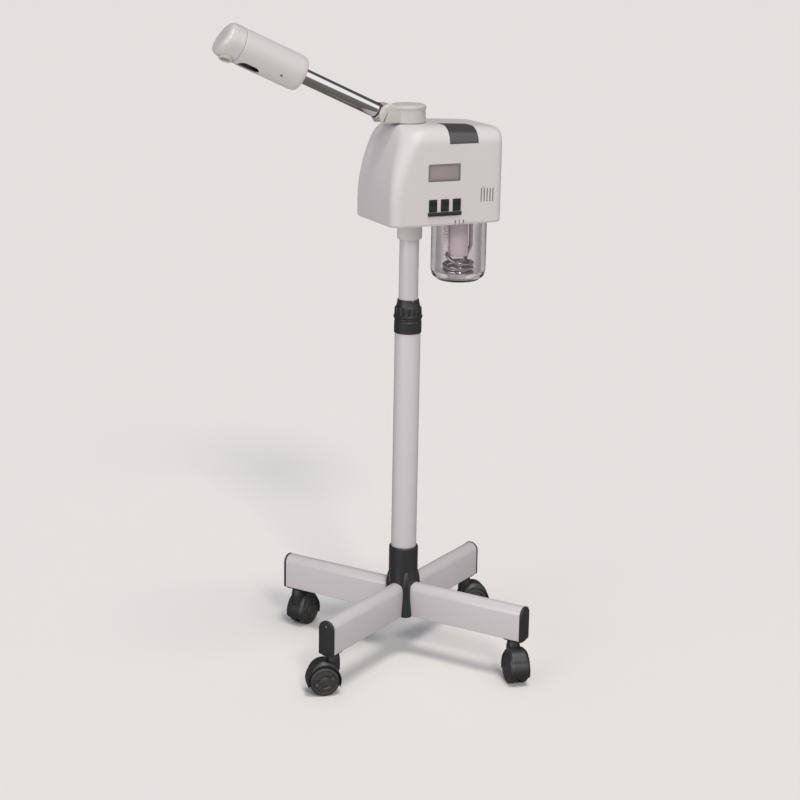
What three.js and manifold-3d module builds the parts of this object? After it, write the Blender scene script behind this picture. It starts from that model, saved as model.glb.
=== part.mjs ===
// A facial steamer on a four-legged caster stand, in millimetres, +Z up.
// The origin is on the floor, under the centre of the whole object's box.
// Everything is modelled about the stand's column axis, and the last group shifts it to the origin.
import * as THREE from "three";
import { mergeVertices } from "three/addons/utils/BufferGeometryUtils.js";
import Module from "manifold-3d";

const wasm = await Module();
wasm.setup();

// ---- driving dimensions ---------------------------------------------------------------------
const GAP = 0.3; // clearance between pieces that touch
const FINE = 24; // sides of the large round pieces
const MEDIUM = 16;
const COARSE = 10; // sides of the pins and bores
const COLUMN_X = 48.3; // column axis from the origin
const COLUMN_Y = 3;

const LEG_COUNT = 4;
const LEG_FIRST_DEG = 33; // the case front faces -Y, and the legs stand diagonally to it
const LEG_END_R = 212; // outer face of a leg's end cap
const LEG_WIDTH = 25;
const LEG_BOTTOM = 64;
const LEG_TOP = 116;
const LEG_WALL = 2;
const LEG_START_R = 15;
const CAP_THICK = 4;
const TONGUE_LENGTH = 33;
const TONGUE_THICK = 2;

const WHEEL_R = 22.5;
const WHEEL_WIDTH = 11;
const WHEEL_SIDES = 18; // a flat side rests on the floor
const WHEEL_SPACING = 19;
const CASTER_R = 193; // swivel axis from the column axis
const CASTER_TRAIL = 14;
const CASTER_YAW_DEG = [-10, 29, 167, -100]; // each caster's trail direction at rest
const HOOD_R = 25.2;
const HOOD_CROWN_R = 21.5; // the hood is egg-shaped, with a smaller circle above the wheels'
const HOOD_CROWN_Z = 31.5;
const AXLE_R = 4;
const STEM_R = 5.2;

const TUBE_R = 38.1 / 2; // lower tube
const TUBE_WALL = 1.5;
const TUBE_BOTTOM = 118;
const TUBE_TOP = 515;
const HUB_R = 22;
const HUB_TOP = 172;
const HUB_BOTTOM = 63;
const CLAMP_R = 20.3;
const CLAMP_BOTTOM = 503;
const CLAMP_TOP = 525;
const NUT_TOP = 553;
const INNER_R = 28.6 / 2; // upper tube
const INNER_BOTTOM = 215;
const INNER_TOP = 690;
const COLLAR_R = 18.3;
const COLLAR_BOTTOM = 642;

const CASE_LEFT = -57;
const CASE_RIGHT = 120;
const CASE_FRONT = -62;
const CASE_BACK = 70;
const CASE_BOTTOM = 670;
const CASE_TOP = 811.5;
const CASE_WALL = 2.5;
const CASE_LEAN = 26; // how far the left wall curves inwards at the top
const CASE_LEAN_FROM = 700;
const CASE_SLOPE = 0.05; // the top falls away to the right of the turret
const SLOPE_FROM_X = 22;
const FRONT_ROUND = 25;
const BACK_ROUND = 28;
const RIGHT_ROUND = 9;
const CORNER_STEPS = 4;
const LEFT_ROUND = 9;

const LID_X = [31, 77];
const LID_FRONT_Z = 786;
const LID_BACK_Y = -18;
const DISPLAY = { x: [-2, 49], z: [733.5, 758.5] };
const SWITCH_X = [6, 24.9, 43.8];
const SWITCH_Z = 699.4;
const SWITCH_SIZE = [12.2, 16.8];
const SWITCH_ROCK = 7; // degrees either side of neutral
const STRIP = { x: [-2, 51], z: [684.5, 690] };
const VENT = { x: 83.5, pitch: 4.7, count: 5, z: [701, 721], width: 1.7 };
const REAR = { x: [-22, 104], z: [684, 776], corner: 9 };
const INLET = { x: 70, z: 706, width: 27, height: 20 };

const JAR_X = 73.5;
const JAR_Y = -14;
const JAR_R = 40.5;
const JAR_WALL = 4;
const JAR_TOP = 681;
const JAR_BOTTOM = 580;
const COIL_R = 20.5;
const COIL_WIRE_R = 3.2;
const COIL_TURNS = 2.5;
const COIL_BOTTOM = 590;
const COIL_TOP = 608;

const TURRET_X = -6;
const TURRET_R = 26;
const TURRET_BOTTOM = CASE_TOP + 0.6;
const TURRET_TOP = 839;
const BALL_X = -41;
const BALL_Z = 823.6;
const BALL_R = 11.3;
const KNUCKLE_R = 16.5;
const ARM_TILT_DEG = 24.5;
const ARM_R = 10.9;
const ARM_WALL = 1.2;
const HEAD_START = 145;
const HEAD_LENGTH = 131;
const HEAD_R = 25.5;
const HEAD_WALL = 2.2;
const HEAD_SEAM = 101; // shell length; the end cap covers the rest
const HEAD_ROLL_DEG = 18; // the outlet side is turned a little to the front
const SLOT = { along: [62, 95], width: 20 };
const NOZZLE_AT = 113.5;
const NOZZLE_R = 10;

// ---- finishes -------------------------------------------------------------------------------
const finish = (color, roughness, metalness = 0) => ({ color, roughness, metalness });
const WHITE_PLASTIC = finish(0xe4e1de, 0.45);
const WHITE_PAINT = finish(0xdddbe0, 0.4);
const BLACK_PLASTIC = finish(0x232326, 0.5);
const BLACK_RUBBER = finish(0x1b1b1d, 0.7);
const CHROME = finish(0xcfd0d2, 0.12, 1);
const STEEL = finish(0x9a9a9c, 0.3, 1);
const SMOKED = finish(0x4a4648, 0.25);
const GLASS = finish(0x9b9799, 0.1);
const LCD = finish(0x8c8484, 0.3);
const BOARD = finish(0x2f5a3c, 0.6);
const SILICONE = finish(0xc9c4bd, 0.6);

// ---- solids ---------------------------------------------------------------------------------
// A closed geometry as a manifold solid, turned the right way out.
function solid(geometry) {
  const bare = geometry.index ? geometry.toNonIndexed() : geometry.clone();
  bare.deleteAttribute("normal");
  bare.deleteAttribute("uv");
  const merged = mergeVertices(bare, 1e-4);
  const triVerts = new Uint32Array(merged.index.array);
  const vertProperties = new Float32Array(merged.attributes.position.array);
  const build = () => new wasm.Manifold(new wasm.Mesh({ numProp: 3, vertProperties, triVerts }));
  const made = build();
  if (made.volume() > 0) return made;
  for (let i = 0; i < triVerts.length; i += 3) {
    const second = triVerts[i + 1];
    triVerts[i + 1] = triVerts[i + 2];
    triVerts[i + 2] = second;
  }
  return build();
}

function join(...solids) {
  return solids.reduce((sum, next) => sum.add(next));
}

function cut(body, ...tools) {
  return tools.reduce((left, tool) => left.subtract(tool), body);
}

// A box from its lowest to its highest corner.
function box(low, high) {
  const size = high.map((v, i) => v - low[i]);
  const middle = high.map((v, i) => (v + low[i]) / 2);
  return solid(new THREE.BoxGeometry(...size).translate(...middle));
}

// A profile of [radius, z] points turned about Z. It starts and ends on the axis, or is a loop.
function turned(profile, sides) {
  const points = profile.map(([r, z]) => new THREE.Vector2(r, z));
  return solid(new THREE.LatheGeometry(points, sides).rotateX(Math.PI / 2));
}

function rod(radius, low, high, sides) {
  return turned([[0, low], [radius, low], [radius, high], [0, high]], sides);
}

function pipe(outer, inner, low, high, sides) {
  return turned([[inner, low], [outer, low], [outer, high], [inner, high], [inner, low]], sides);
}

// A rectangle with rounded corners, centred on the origin.
function roundedRect(width, height, radius) {
  const [w, h] = [width / 2, height / 2];
  const shape = new THREE.Shape();
  shape.moveTo(w - radius, -h).absarc(w - radius, -h + radius, radius, -Math.PI / 2, 0);
  shape.absarc(w - radius, h - radius, radius, 0, Math.PI / 2);
  shape.absarc(-w + radius, h - radius, radius, Math.PI / 2, Math.PI);
  shape.absarc(-w + radius, -h + radius, radius, Math.PI, 1.5 * Math.PI);
  return shape;
}

// An outline extruded along Z from 0.
function extruded(shape, depth, curveSegments = 3) {
  return solid(new THREE.ExtrudeGeometry(shape, { depth, bevelEnabled: false, curveSegments }));
}

// A plate that stands in the XZ plane between two values of y.
function standingPlate(xs, zs, ys, corner) {
  const shape = roundedRect(xs[1] - xs[0], zs[1] - zs[0], corner);
  const plate = extruded(shape, ys[1] - ys[0]);
  return plate.rotate([90, 0, 0]).translate([(xs[0] + xs[1]) / 2, ys[1], (zs[0] + zs[1]) / 2]);
}

// A round bar swept along a curve.
function swept(curve, radius, sides, steps) {
  const ring = new THREE.Shape();
  ring.absarc(0, 0, radius, 0, 2 * Math.PI);
  const options = { extrudePath: curve, steps, curveSegments: sides / 2, bevelEnabled: false };
  return solid(new THREE.ExtrudeGeometry(ring, options));
}

const stand = new THREE.Group();
stand.position.set(COLUMN_X, COLUMN_Y, 0);

// Adds a solid to the object as a named mesh with its own material.
function add(name, body, look) {
  const made = body.getMesh();
  const corners = new Float32Array(made.numVert * 3);
  for (let i = 0; i < made.numVert; i++) {
    corners.set(made.vertProperties.subarray(i * made.numProp, i * made.numProp + 3), i * 3);
  }
  const geometry = new THREE.BufferGeometry();
  geometry.setAttribute("position", new THREE.BufferAttribute(corners, 3));
  geometry.setIndex(new THREE.BufferAttribute(made.triVerts, 1));
  const mesh = new THREE.Mesh(geometry, new THREE.MeshStandardMaterial(look));
  mesh.name = name;
  stand.add(mesh);
}

// ---- legs -----------------------------------------------------------------------------------
// A leg's section: flat below, half round above, grown by a margin on every side.
function legSection(margin) {
  const half = LEG_WIDTH / 2 + margin;
  const shape = new THREE.Shape();
  shape.moveTo(half, LEG_BOTTOM - margin);
  shape.lineTo(half, LEG_TOP - LEG_WIDTH / 2);
  shape.absarc(0, LEG_TOP - LEG_WIDTH / 2, half, 0, Math.PI);
  shape.lineTo(-half, LEG_BOTTOM - margin);
  return shape;
}

// A length of that section along +X, between two radii.
function legBar(margin, from, to) {
  const bar = extruded(legSection(margin), to - from, 7);
  return bar.rotate([90, 0, 0]).rotate([0, 0, 90]).translate([from, 0, 0]);
}

const legAngles = Array.from({ length: LEG_COUNT }, (_, k) => LEG_FIRST_DEG + (360 / LEG_COUNT) * k);

function leg() {
  const inside = legBar(-LEG_WALL, LEG_START_R - 1, LEG_END_R);
  const stemHole = rod(STEM_R + GAP, LEG_BOTTOM - 1, LEG_BOTTOM + LEG_WALL + 1, COARSE);
  const tube = legBar(0, LEG_START_R, LEG_END_R - CAP_THICK);
  return cut(tube, inside, stemHole.translate([CASTER_R, 0, 0]));
}

function legCap() {
  const plate = legBar(0.6, LEG_END_R - CAP_THICK + GAP, LEG_END_R);
  const plug = legBar(-LEG_WALL - GAP, LEG_END_R - CAP_THICK - 8, LEG_END_R - 1);
  const tongueTop = LEG_BOTTOM - GAP;
  const low = [LEG_END_R - TONGUE_LENGTH, -9.5, tongueTop - TONGUE_THICK];
  const tongue = box(low, [LEG_END_R, 9.5, tongueTop]);
  const hole = rod(STEM_R + GAP, LEG_BOTTOM - 5, LEG_BOTTOM + 5, COARSE).translate([CASTER_R, 0, 0]);
  return cut(join(plate, plug, tongue), hole);
}

legAngles.forEach((angle, k) => {
  add(`leg_${k + 1}`, leg().rotate([0, 0, angle]), WHITE_PAINT);
  add(`leg_cap_${k + 1}`, legCap().rotate([0, 0, angle]), BLACK_PLASTIC);
});

// ---- hub, tubes and height clamp ------------------------------------------------------------
// The hub's sleeve arches over the legs, and a flared post fills each corner between two legs.
function hub() {
  const sleeve = rod(HUB_R, LEG_TOP - 14, HUB_TOP, FINE);
  const core = extruded(roundedRect(30, 30, 3), LEG_TOP - HUB_BOTTOM).translate([0, 0, HUB_BOTTOM]);
  const waist = [[10.8, HUB_BOTTOM], [9.4, 74], [7.6, 94], [7.8, 106], [8.8, 115], [5, 121]];
  const post = turned([[0, HUB_BOTTOM], ...waist, [0, 121]], MEDIUM).translate([19.5, 0, 0]);
  const posts = legAngles.map((_, k) => post.rotate([0, 0, 45 + 90 * k]));
  const sockets = legAngles.map((_, k) => legBar(GAP, LEG_START_R - GAP, 60).rotate([0, 0, 90 * k]));
  const tubeBore = rod(TUBE_R + GAP, TUBE_BOTTOM - GAP, HUB_TOP + 1, FINE);
  const boltBore = rod(5.4, HUB_BOTTOM - 1, TUBE_BOTTOM, COARSE);
  const body = cut(join(sleeve, core, ...posts), ...sockets, tubeBore, boltBore);
  return body.rotate([0, 0, LEG_FIRST_DEG]);
}

function hubBolt() {
  const head = rod(8, HUB_BOTTOM - 7, HUB_BOTTOM - GAP, 6);
  const shank = rod(5, HUB_BOTTOM - 1, TUBE_BOTTOM + 12, COARSE);
  return join(head, shank);
}

// The clamp's lobed nut narrows upwards, with grip ribs and a notched rim.
function clampNut() {
  const low = CLAMP_TOP + GAP;
  const skirt = [[0, low], [21.5, low], [21.5, low + 3], [19.2, low + 5], [18, NUT_TOP - 11]];
  const rim = [[15.9, NUT_TOP - 4], [15.6, NUT_TOP], [0, NUT_TOP]];
  const body = turned([...skirt, ...rim], FINE);
  const ribs = [];
  for (let k = 0; k < 8; k++) {
    const rib = box([16, -1.6, low + 3], [19.9, 1.6, NUT_TOP - 10]);
    ribs.push(rib.rotate([0, 0, 45 * k]));
  }
  const notch = box([-30, -2.5, NUT_TOP - 2.2], [30, 2.5, NUT_TOP + 1]);
  const bore = rod(INNER_R + GAP, low - 1, NUT_TOP + 1, FINE);
  return cut(join(body, ...ribs), notch, notch.rotate([0, 0, 90]), bore);
}

function clampBody() {
  const outer = rod(CLAMP_R, CLAMP_BOTTOM, CLAMP_TOP, FINE);
  const tubeBore = rod(TUBE_R + GAP, CLAMP_BOTTOM - 1, TUBE_TOP + GAP, FINE);
  return cut(outer, tubeBore, rod(INNER_R + GAP, TUBE_TOP, CLAMP_TOP + 1, FINE));
}

add("hub", hub(), BLACK_PLASTIC);
add("hub_bolt", hubBolt(), STEEL);
const lowerTube = pipe(TUBE_R, TUBE_R - TUBE_WALL, TUBE_BOTTOM, TUBE_TOP, FINE);
const bridge = rod(TUBE_R - 1, TUBE_BOTTOM, TUBE_BOTTOM + 8, FINE);
add("lower_tube", cut(join(lowerTube, bridge), rod(5.4, 100, 140, COARSE)), WHITE_PAINT);
const bushR = TUBE_R - TUBE_WALL - GAP;
add("guide_bush", pipe(bushR, INNER_R + GAP, TUBE_TOP - 50, TUBE_TOP - 1, FINE), BLACK_PLASTIC);
add("clamp_body", clampBody(), BLACK_PLASTIC);
add("clamp_nut", clampNut(), BLACK_PLASTIC);
add("upper_tube", pipe(INNER_R, INNER_R - TUBE_WALL, INNER_BOTTOM, INNER_TOP, FINE), WHITE_PAINT);

// ---- casters --------------------------------------------------------------------------------
// A caster is made with its swivel axis on Z and its wheels trailing along +X, then placed.
const WHEEL_Z = WHEEL_R * Math.cos(Math.PI / WHEEL_SIDES);

// A solid of revolution about Z, laid along Y at the wheels' axle.
function onAxle(body) {
  return body.rotate([90, 0, 0]).translate([CASTER_TRAIL, 0, WHEEL_Z]);
}

function casterHood() {
  const half = WHEEL_SPACING / 2 + WHEEL_WIDTH / 2;
  const crown = rod(HOOD_CROWN_R, -half, half, FINE).rotate([90, 0, 0]);
  const egg = join(onAxle(rod(HOOD_R, -half, half, FINE)), crown.translate([CASTER_TRAIL, 0, HOOD_CROWN_Z]));
  const inner = WHEEL_SPACING / 2 - WHEEL_WIDTH / 2 - 1;
  const wells = [1, -1].map((side) => {
    const ends = [side * inner, side * (half + 1)].sort((a, b) => a - b);
    return onAxle(rod(WHEEL_R + 0.8, ends[0], ends[1], FINE));
  });
  const openBelow = box([-40, -40, -10], [60, 40, 12]);
  const openSides = [1, -1].map((side) => {
    const ys = [side * inner, side * 40].sort((a, b) => a - b);
    return box([-40, ys[0], -10], [60, ys[1], 24]);
  });
  const neck = turned([[0, 34], [10.5, 34], [10.5, 50], [8.8, 60.4], [0, 60.4]], MEDIUM);
  const stemBore = rod(STEM_R + GAP, 44, 70, COARSE);
  const axleBore = onAxle(rod(AXLE_R + GAP, -40, 40, COARSE));
  return cut(join(egg, neck), ...wells, openBelow, ...openSides, stemBore, axleBore);
}

function casterStem() {
  const flange = rod(8, 60.7, LEG_BOTTOM - TONGUE_THICK - 2 * GAP, COARSE);
  return join(rod(STEM_R, 44.5, LEG_BOTTOM + 30, COARSE), flange);
}

// A wheel's section: a flat tread with eased edges, a shallow dish outside, and the axle's bore.
function wheel(side) {
  const h = WHEEL_WIDTH / 2;
  const bore = AXLE_R + GAP;
  const rim = [[WHEEL_R - 2, -h], [WHEEL_R, 2 - h], [WHEEL_R, h - 2], [WHEEL_R - 2, h]];
  const disc = turned([[bore, -h], ...rim, [bore, h - 2], [bore, -h]], WHEEL_SIDES);
  const flatDown = disc.rotate([0, 0, 180 / WHEEL_SIDES]);
  const faced = side > 0 ? flatDown.rotate([180, 0, 0]) : flatDown;
  return onAxle(faced.translate([0, 0, (-side * WHEEL_SPACING) / 2]));
}

legAngles.forEach((angle, k) => {
  const place = (body) => {
    return body.rotate([0, 0, CASTER_YAW_DEG[k] - angle]).translate([CASTER_R, 0, 0]).rotate([0, 0, angle]);
  };
  const axleHalf = WHEEL_SPACING / 2 + WHEEL_WIDTH / 2 - 2.4;
  add(`caster_hood_${k + 1}`, place(casterHood()), BLACK_PLASTIC);
  add(`caster_stem_${k + 1}`, place(casterStem()), STEEL);
  add(`caster_axle_${k + 1}`, place(onAxle(rod(AXLE_R, -axleHalf, axleHalf, COARSE))), STEEL);
  add(`wheel_${k + 1}a`, place(wheel(1)), BLACK_RUBBER);
  add(`wheel_${k + 1}b`, place(wheel(-1)), BLACK_RUBBER);
});

// ---- case -----------------------------------------------------------------------------------
// How far a side that is rounded into the top with a radius has come in at height z.
function roundIn(z, radius, top) {
  const above = Math.min(Math.max(z - (top - radius), 0), radius);
  return radius - Math.sqrt(radius * radius - above * above);
}

// The case's horizontal outline at height z, inset by a margin: a rounded rectangle whose left
// side leans in with height and whose left corners open up into large curves.
function caseOutline(z, inset) {
  const top = CASE_TOP - inset;
  const lean = Math.max(z - CASE_LEAN_FROM, 0) / (CASE_TOP - CASE_LEAN_FROM);
  const ease = Math.max(3 - (z - CASE_BOTTOM), 0) * 0.6;
  const left = CASE_LEFT + CASE_LEAN * lean * lean + roundIn(z, LEFT_ROUND, top) + inset + ease;
  const right = CASE_RIGHT - roundIn(z, RIGHT_ROUND, top) - inset - ease;
  const front = CASE_FRONT + roundIn(z, FRONT_ROUND, top) + inset + ease;
  const back = CASE_BACK - roundIn(z, BACK_ROUND, top) - inset - ease;
  const leftCorner = 14 + 18 * lean ** 1.5 - inset;
  const rightCorner = 13 - inset;
  const corners = [
    [right - rightCorner, back - rightCorner, rightCorner, 0],
    [left + leftCorner, back - leftCorner, leftCorner, 90],
    [left + leftCorner, front + leftCorner, leftCorner, 180],
    [right - rightCorner, front + rightCorner, rightCorner, 270],
  ];
  const points = [];
  for (const [x, y, radius, start] of corners) {
    for (let i = 0; i <= CORNER_STEPS; i++) {
      const a = (start + (90 / CORNER_STEPS) * i) * THREE.MathUtils.DEG2RAD;
      points.push([x + radius * Math.cos(a), y + radius * Math.sin(a)]);
    }
  }
  // Extra points along the front and back keep the top's slope where it belongs.
  const along = (from, to, y) => [0.25, 0.5, 0.75].map((t) => [from + (to - from) * t, y]);
  const backRun = along(right - rightCorner, left + leftCorner, back);
  const frontRun = along(left + leftCorner, right - rightCorner, front);
  const per = CORNER_STEPS + 1;
  const leftCorners = points.slice(per, 3 * per);
  return [...points.slice(0, per), ...backRun, ...leftCorners, ...frontRun, ...points.slice(3 * per)];
}

// The top falls to the right of the turret; the fall fades out down the walls.
function sloped([x, y], z) {
  const share = THREE.MathUtils.clamp((z - 760) / (CASE_TOP - 760), 0, 1);
  return [x, y, z - CASE_SLOPE * Math.max(x - SLOPE_FROM_X, 0) * share];
}

// Stacks outlines into a closed body: a fan below, quads between rings, strips across the top.
function caseBody(inset, bottom) {
  const top = CASE_TOP - inset;
  const walls = [bottom, bottom + 3, 715, 745, 767, top - FRONT_ROUND];
  const crown = [22, 42, 60, 76, 90].map((deg) => {
    return top - FRONT_ROUND + FRONT_ROUND * Math.sin(deg * THREE.MathUtils.DEG2RAD);
  });
  const rings = [...walls, ...crown].map((z) => caseOutline(z, inset).map((p) => sloped(p, z)));
  const n = rings[0].length;
  const corners = rings.flat(2);
  const faces = [];
  for (let level = 0; level < rings.length - 1; level++) {
    for (let i = 0; i < n; i++) {
      const [a, b] = [level * n + i, level * n + ((i + 1) % n)];
      faces.push(a, b, b + n, a, b + n, a + n);
    }
  }
  // Point i on the back half of a ring pairs with point last - i on its front half.
  const last = n - 1;
  const strip = (base, flip) => {
    for (let i = 0; i < n / 2 - 1; i++) {
      const [a, b, c, d] = [i, i + 1, last - i, last - i - 1].map((k) => base + k);
      faces.push(...(flip ? [a, c, b, b, c, d] : [a, b, c, b, d, c]));
    }
  };
  strip(0, true);
  strip((rings.length - 1) * n, false);
  const geometry = new THREE.BufferGeometry();
  geometry.setAttribute("position", new THREE.BufferAttribute(new Float32Array(corners), 3));
  geometry.setIndex(faces);
  return solid(geometry);
}

const caseShell = cut(caseBody(0, CASE_BOTTOM), caseBody(CASE_WALL, CASE_BOTTOM - 1));

// The lid is a window of the case's own shell: its front, the rounded edge and part of the top.
function lidWindow(margin) {
  const low = [LID_X[0] + margin, CASE_FRONT - 5, LID_FRONT_Z + margin];
  return box(low, [LID_X[1] - margin, LID_BACK_Y - margin, CASE_TOP + 10]);
}

// A hole through the case's front wall.
function frontHole(xs, zs, corner) {
  return standingPlate(xs, zs, [CASE_FRONT - 5, CASE_FRONT + CASE_WALL + 4], corner);
}

function around(middle, size) {
  return [middle - size / 2, middle + size / 2];
}

function caseCover() {
  const rearHole = standingPlate(REAR.x, REAR.z, [CASE_BACK - 10, CASE_BACK + 5], REAR.corner);
  const turretHole = rod(11, CASE_TOP - 8, CASE_TOP + 5, MEDIUM).translate([TURRET_X, 0, 0]);
  const switchHoles = SWITCH_X.map((x) => {
    return frontHole(around(x, SWITCH_SIZE[0]), around(SWITCH_Z, SWITCH_SIZE[1]), 1);
  });
  const vents = Array.from({ length: VENT.count }, (_, i) => {
    return frontHole(around(VENT.x + VENT.pitch * i, VENT.width), VENT.z, VENT.width / 2 - 0.05);
  });
  const displayHole = frontHole(DISPLAY.x, DISPLAY.z, 1.5);
  return cut(caseShell, rearHole, lidWindow(0), turretHole, displayHole, ...switchHoles, ...vents);
}

function shrunk([low, high], margin) {
  return [low + margin, high - margin];
}

function rearPanel() {
  const ys = [CASE_BACK - 3.6, CASE_BACK - 0.6];
  const panel = standingPlate(shrunk(REAR.x, GAP), shrunk(REAR.z, GAP), ys, REAR.corner);
  const inletXs = around(INLET.x, INLET.width);
  const inletHole = standingPlate(inletXs, around(INLET.z, INLET.height), [50, 80], 2);
  const airSlots = Array.from({ length: 8 }, (_, i) => {
    const zs = around(716 + 6 * i, 2.4);
    return box([-12, 50, zs[0]], [24, 80, zs[1]]);
  });
  return cut(panel, inletHole, ...airSlots);
}

// The inlet's socket: a flanged box with three pins inside, open at the back.
function powerInlet() {
  const xs = around(INLET.x, INLET.width - 2 * GAP);
  const zs = around(INLET.z, INLET.height - 2 * GAP);
  const body = standingPlate(xs, zs, [CASE_BACK - 22, CASE_BACK + 0.4], 2);
  const flangeXs = around(INLET.x, INLET.width + 6);
  const flangeZs = around(INLET.z, INLET.height + 6);
  const flange = standingPlate(flangeXs, flangeZs, [CASE_BACK - 0.6 + GAP, CASE_BACK + 2], 2);
  const pocket = standingPlate(shrunk(xs, 1.8), shrunk(zs, 1.8), [CASE_BACK - 18, 80], 3);
  const pins = [-7, 0, 7].map((dx) => {
    const z = INLET.z + (dx ? -2 : 2);
    return box([INLET.x + dx - 1, CASE_BACK - 20, z - 2], [INLET.x + dx + 1, CASE_BACK - 5, z + 2]);
  });
  return join(cut(join(body, flange), pocket), ...pins);
}

const PLATE_TOP = CASE_BOTTOM + 4.2;
const HEAD_BLOCK_TOP = 697;

function bottomPlate() {
  const inside = caseBody(CASE_WALL + GAP, CASE_BOTTOM - 1);
  const slab = box([-100, -100, PLATE_TOP - 3], [200, 200, PLATE_TOP]);
  const collarHole = rod(COLLAR_R + GAP, CASE_BOTTOM - 5, CASE_BOTTOM + 9, FINE);
  const jarHole = rod(JAR_R + 0.8, CASE_BOTTOM - 5, CASE_BOTTOM + 9, FINE);
  return cut(inside.intersect(slab), collarHole, jarHole.translate([JAR_X, JAR_Y, 0]));
}

// The collar grips the upper tube, and its flange carries the case's bottom plate.
function columnSocket() {
  const flangeLow = PLATE_TOP + GAP;
  const outer = [[0, COLLAR_BOTTOM], [COLLAR_R - 1.5, COLLAR_BOTTOM], [COLLAR_R, COLLAR_BOTTOM + 2]];
  const flange = [[COLLAR_R, flangeLow], [29, flangeLow], [29, flangeLow + 5], [COLLAR_R, flangeLow + 6]];
  const body = turned([...outer, ...flange, [COLLAR_R, INNER_TOP + 5], [0, INNER_TOP + 5]], FINE);
  return cut(body, rod(INNER_R + GAP, COLLAR_BOTTOM - 1, INNER_TOP + GAP, FINE));
}

// The boiler head stands on the bottom plate and closes the mouth of the jar.
function boilerHead() {
  const body = rod(JAR_R + 2.4, PLATE_TOP + GAP, HEAD_BLOCK_TOP, FINE);
  const socket = rod(JAR_R + 0.8, CASE_BOTTOM - 5, JAR_TOP + 1.6, FINE);
  const spout = pipe(9, 6.5, HEAD_BLOCK_TOP - 1, HEAD_BLOCK_TOP + 8, MEDIUM);
  const steamBore = rod(6.5, CASE_BOTTOM, HEAD_BLOCK_TOP + 9, MEDIUM);
  const coilBores = [-1, 1].map((side) => {
    return rod(COIL_WIRE_R + GAP, CASE_BOTTOM, HEAD_BLOCK_TOP + 1, COARSE).translate([side * COIL_R, 0, 0]);
  });
  return cut(join(body, spout), socket, steamBore, ...coilBores).translate([JAR_X, JAR_Y, 0]);
}

// The heating element: down one side, round the coil, and up the other side.
function heatingCoil() {
  const points = [];
  const turn = 2 * Math.PI * COIL_TURNS;
  const top = HEAD_BLOCK_TOP + 6;
  const at = (angle, z) => new THREE.Vector3(COIL_R * Math.cos(angle), COIL_R * Math.sin(angle), z);
  for (const z of [top, 670, 645, 622]) points.push(at(Math.PI, z));
  for (let i = 0; i <= 12 * COIL_TURNS; i++) {
    const t = i / (12 * COIL_TURNS);
    points.push(at(Math.PI + turn * t, COIL_TOP - (COIL_TOP - COIL_BOTTOM) * t));
  }
  const last = points[points.length - 1];
  const inner = new THREE.Vector3(last.x * 0.55, last.y * 0.55, COIL_BOTTOM + 3);
  const rise = new THREE.Vector3(last.x * 0.45, last.y * 0.45, COIL_TOP + 12);
  points.push(inner, rise, new THREE.Vector3(COIL_R, 0, 650), at(0, 672), at(0, top));
  const path = new THREE.CatmullRomCurve3(points, false, "centripetal");
  return swept(path, COIL_WIRE_R, 6, 70).translate([JAR_X, JAR_Y, 0]);
}

// The glass jar: a thick foot, a chamfered lower edge, straight walls and an open mouth.
function jar() {
  const outside = [[0, JAR_BOTTOM], [JAR_R - 13, JAR_BOTTOM], [JAR_R - 3.6, JAR_BOTTOM + 5]];
  const wall = [[JAR_R, JAR_BOTTOM + 14], [JAR_R, JAR_TOP]];
  const inside = [[JAR_R - JAR_WALL, JAR_TOP], [JAR_R - JAR_WALL, JAR_BOTTOM + 12]];
  const floor = [[JAR_R - JAR_WALL - 5, JAR_BOTTOM + 6], [0, JAR_BOTTOM + 6]];
  return turned([...outside, ...wall, ...inside, ...floor], FINE).translate([JAR_X, JAR_Y, 0]);
}

function jarSeal() {
  const ring = pipe(JAR_R, JAR_R - 6, JAR_TOP + GAP, JAR_TOP + 1.3, FINE);
  return ring.translate([JAR_X, JAR_Y, 0]);
}

// Inside the case, steam rises from the boiler head to the foot of the turret.
function steamPipe() {
  const start = new THREE.Vector3(JAR_X, JAR_Y, HEAD_BLOCK_TOP + 10);
  const path = new THREE.CatmullRomCurve3([
    start,
    new THREE.Vector3(JAR_X - 1, JAR_Y + 1, 715),
    new THREE.Vector3(JAR_X - 28, JAR_Y + 20, 724),
    new THREE.Vector3(12, 16, 735),
    new THREE.Vector3(TURRET_X, 4, 752),
    new THREE.Vector3(TURRET_X, 0, 775),
    new THREE.Vector3(TURRET_X, 0, CASE_TOP - 5),
  ]);
  return swept(path, 7, 8, MEDIUM);
}

add("case_cover", caseCover(), WHITE_PLASTIC);
add("rear_panel", rearPanel(), WHITE_PLASTIC);
add("power_inlet", powerInlet(), BLACK_PLASTIC);
add("bottom_plate", bottomPlate(), WHITE_PLASTIC);
add("column_socket", columnSocket(), WHITE_PLASTIC);
const boardYs = [CASE_FRONT + 5.5, CASE_FRONT + 7.1];
const windowXs = shrunk(DISPLAY.x, GAP);
const windowZs = shrunk(DISPLAY.z, GAP);
add("display_window", standingPlate(windowXs, windowZs, [CASE_FRONT + 0.6, CASE_FRONT + 4], 1.4), LCD);
add("control_board", box([-14, boardYs[0], 728], [60, boardYs[1], 764]), BOARD);
const stripYs = [CASE_FRONT - 3.2, CASE_FRONT - GAP];
add("switch_strip", standingPlate(STRIP.x, STRIP.z, stripYs, 1), BLACK_PLASTIC);
add("cold_tank", cut(box([26, -50, 745], [82, 14, 779]), box([28, -48, 747], [80, 12, 780])), WHITE_PLASTIC);
add("tank_lid", caseShell.intersect(lidWindow(0.4)), SMOKED);
add("boiler_head", boilerHead(), STEEL);
add("heating_coil", heatingCoil(), STEEL);
add("jar_seal", jarSeal(), SILICONE);
add("jar", jar(), GLASS);
add("steam_pipe", steamPipe(), SILICONE);

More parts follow.
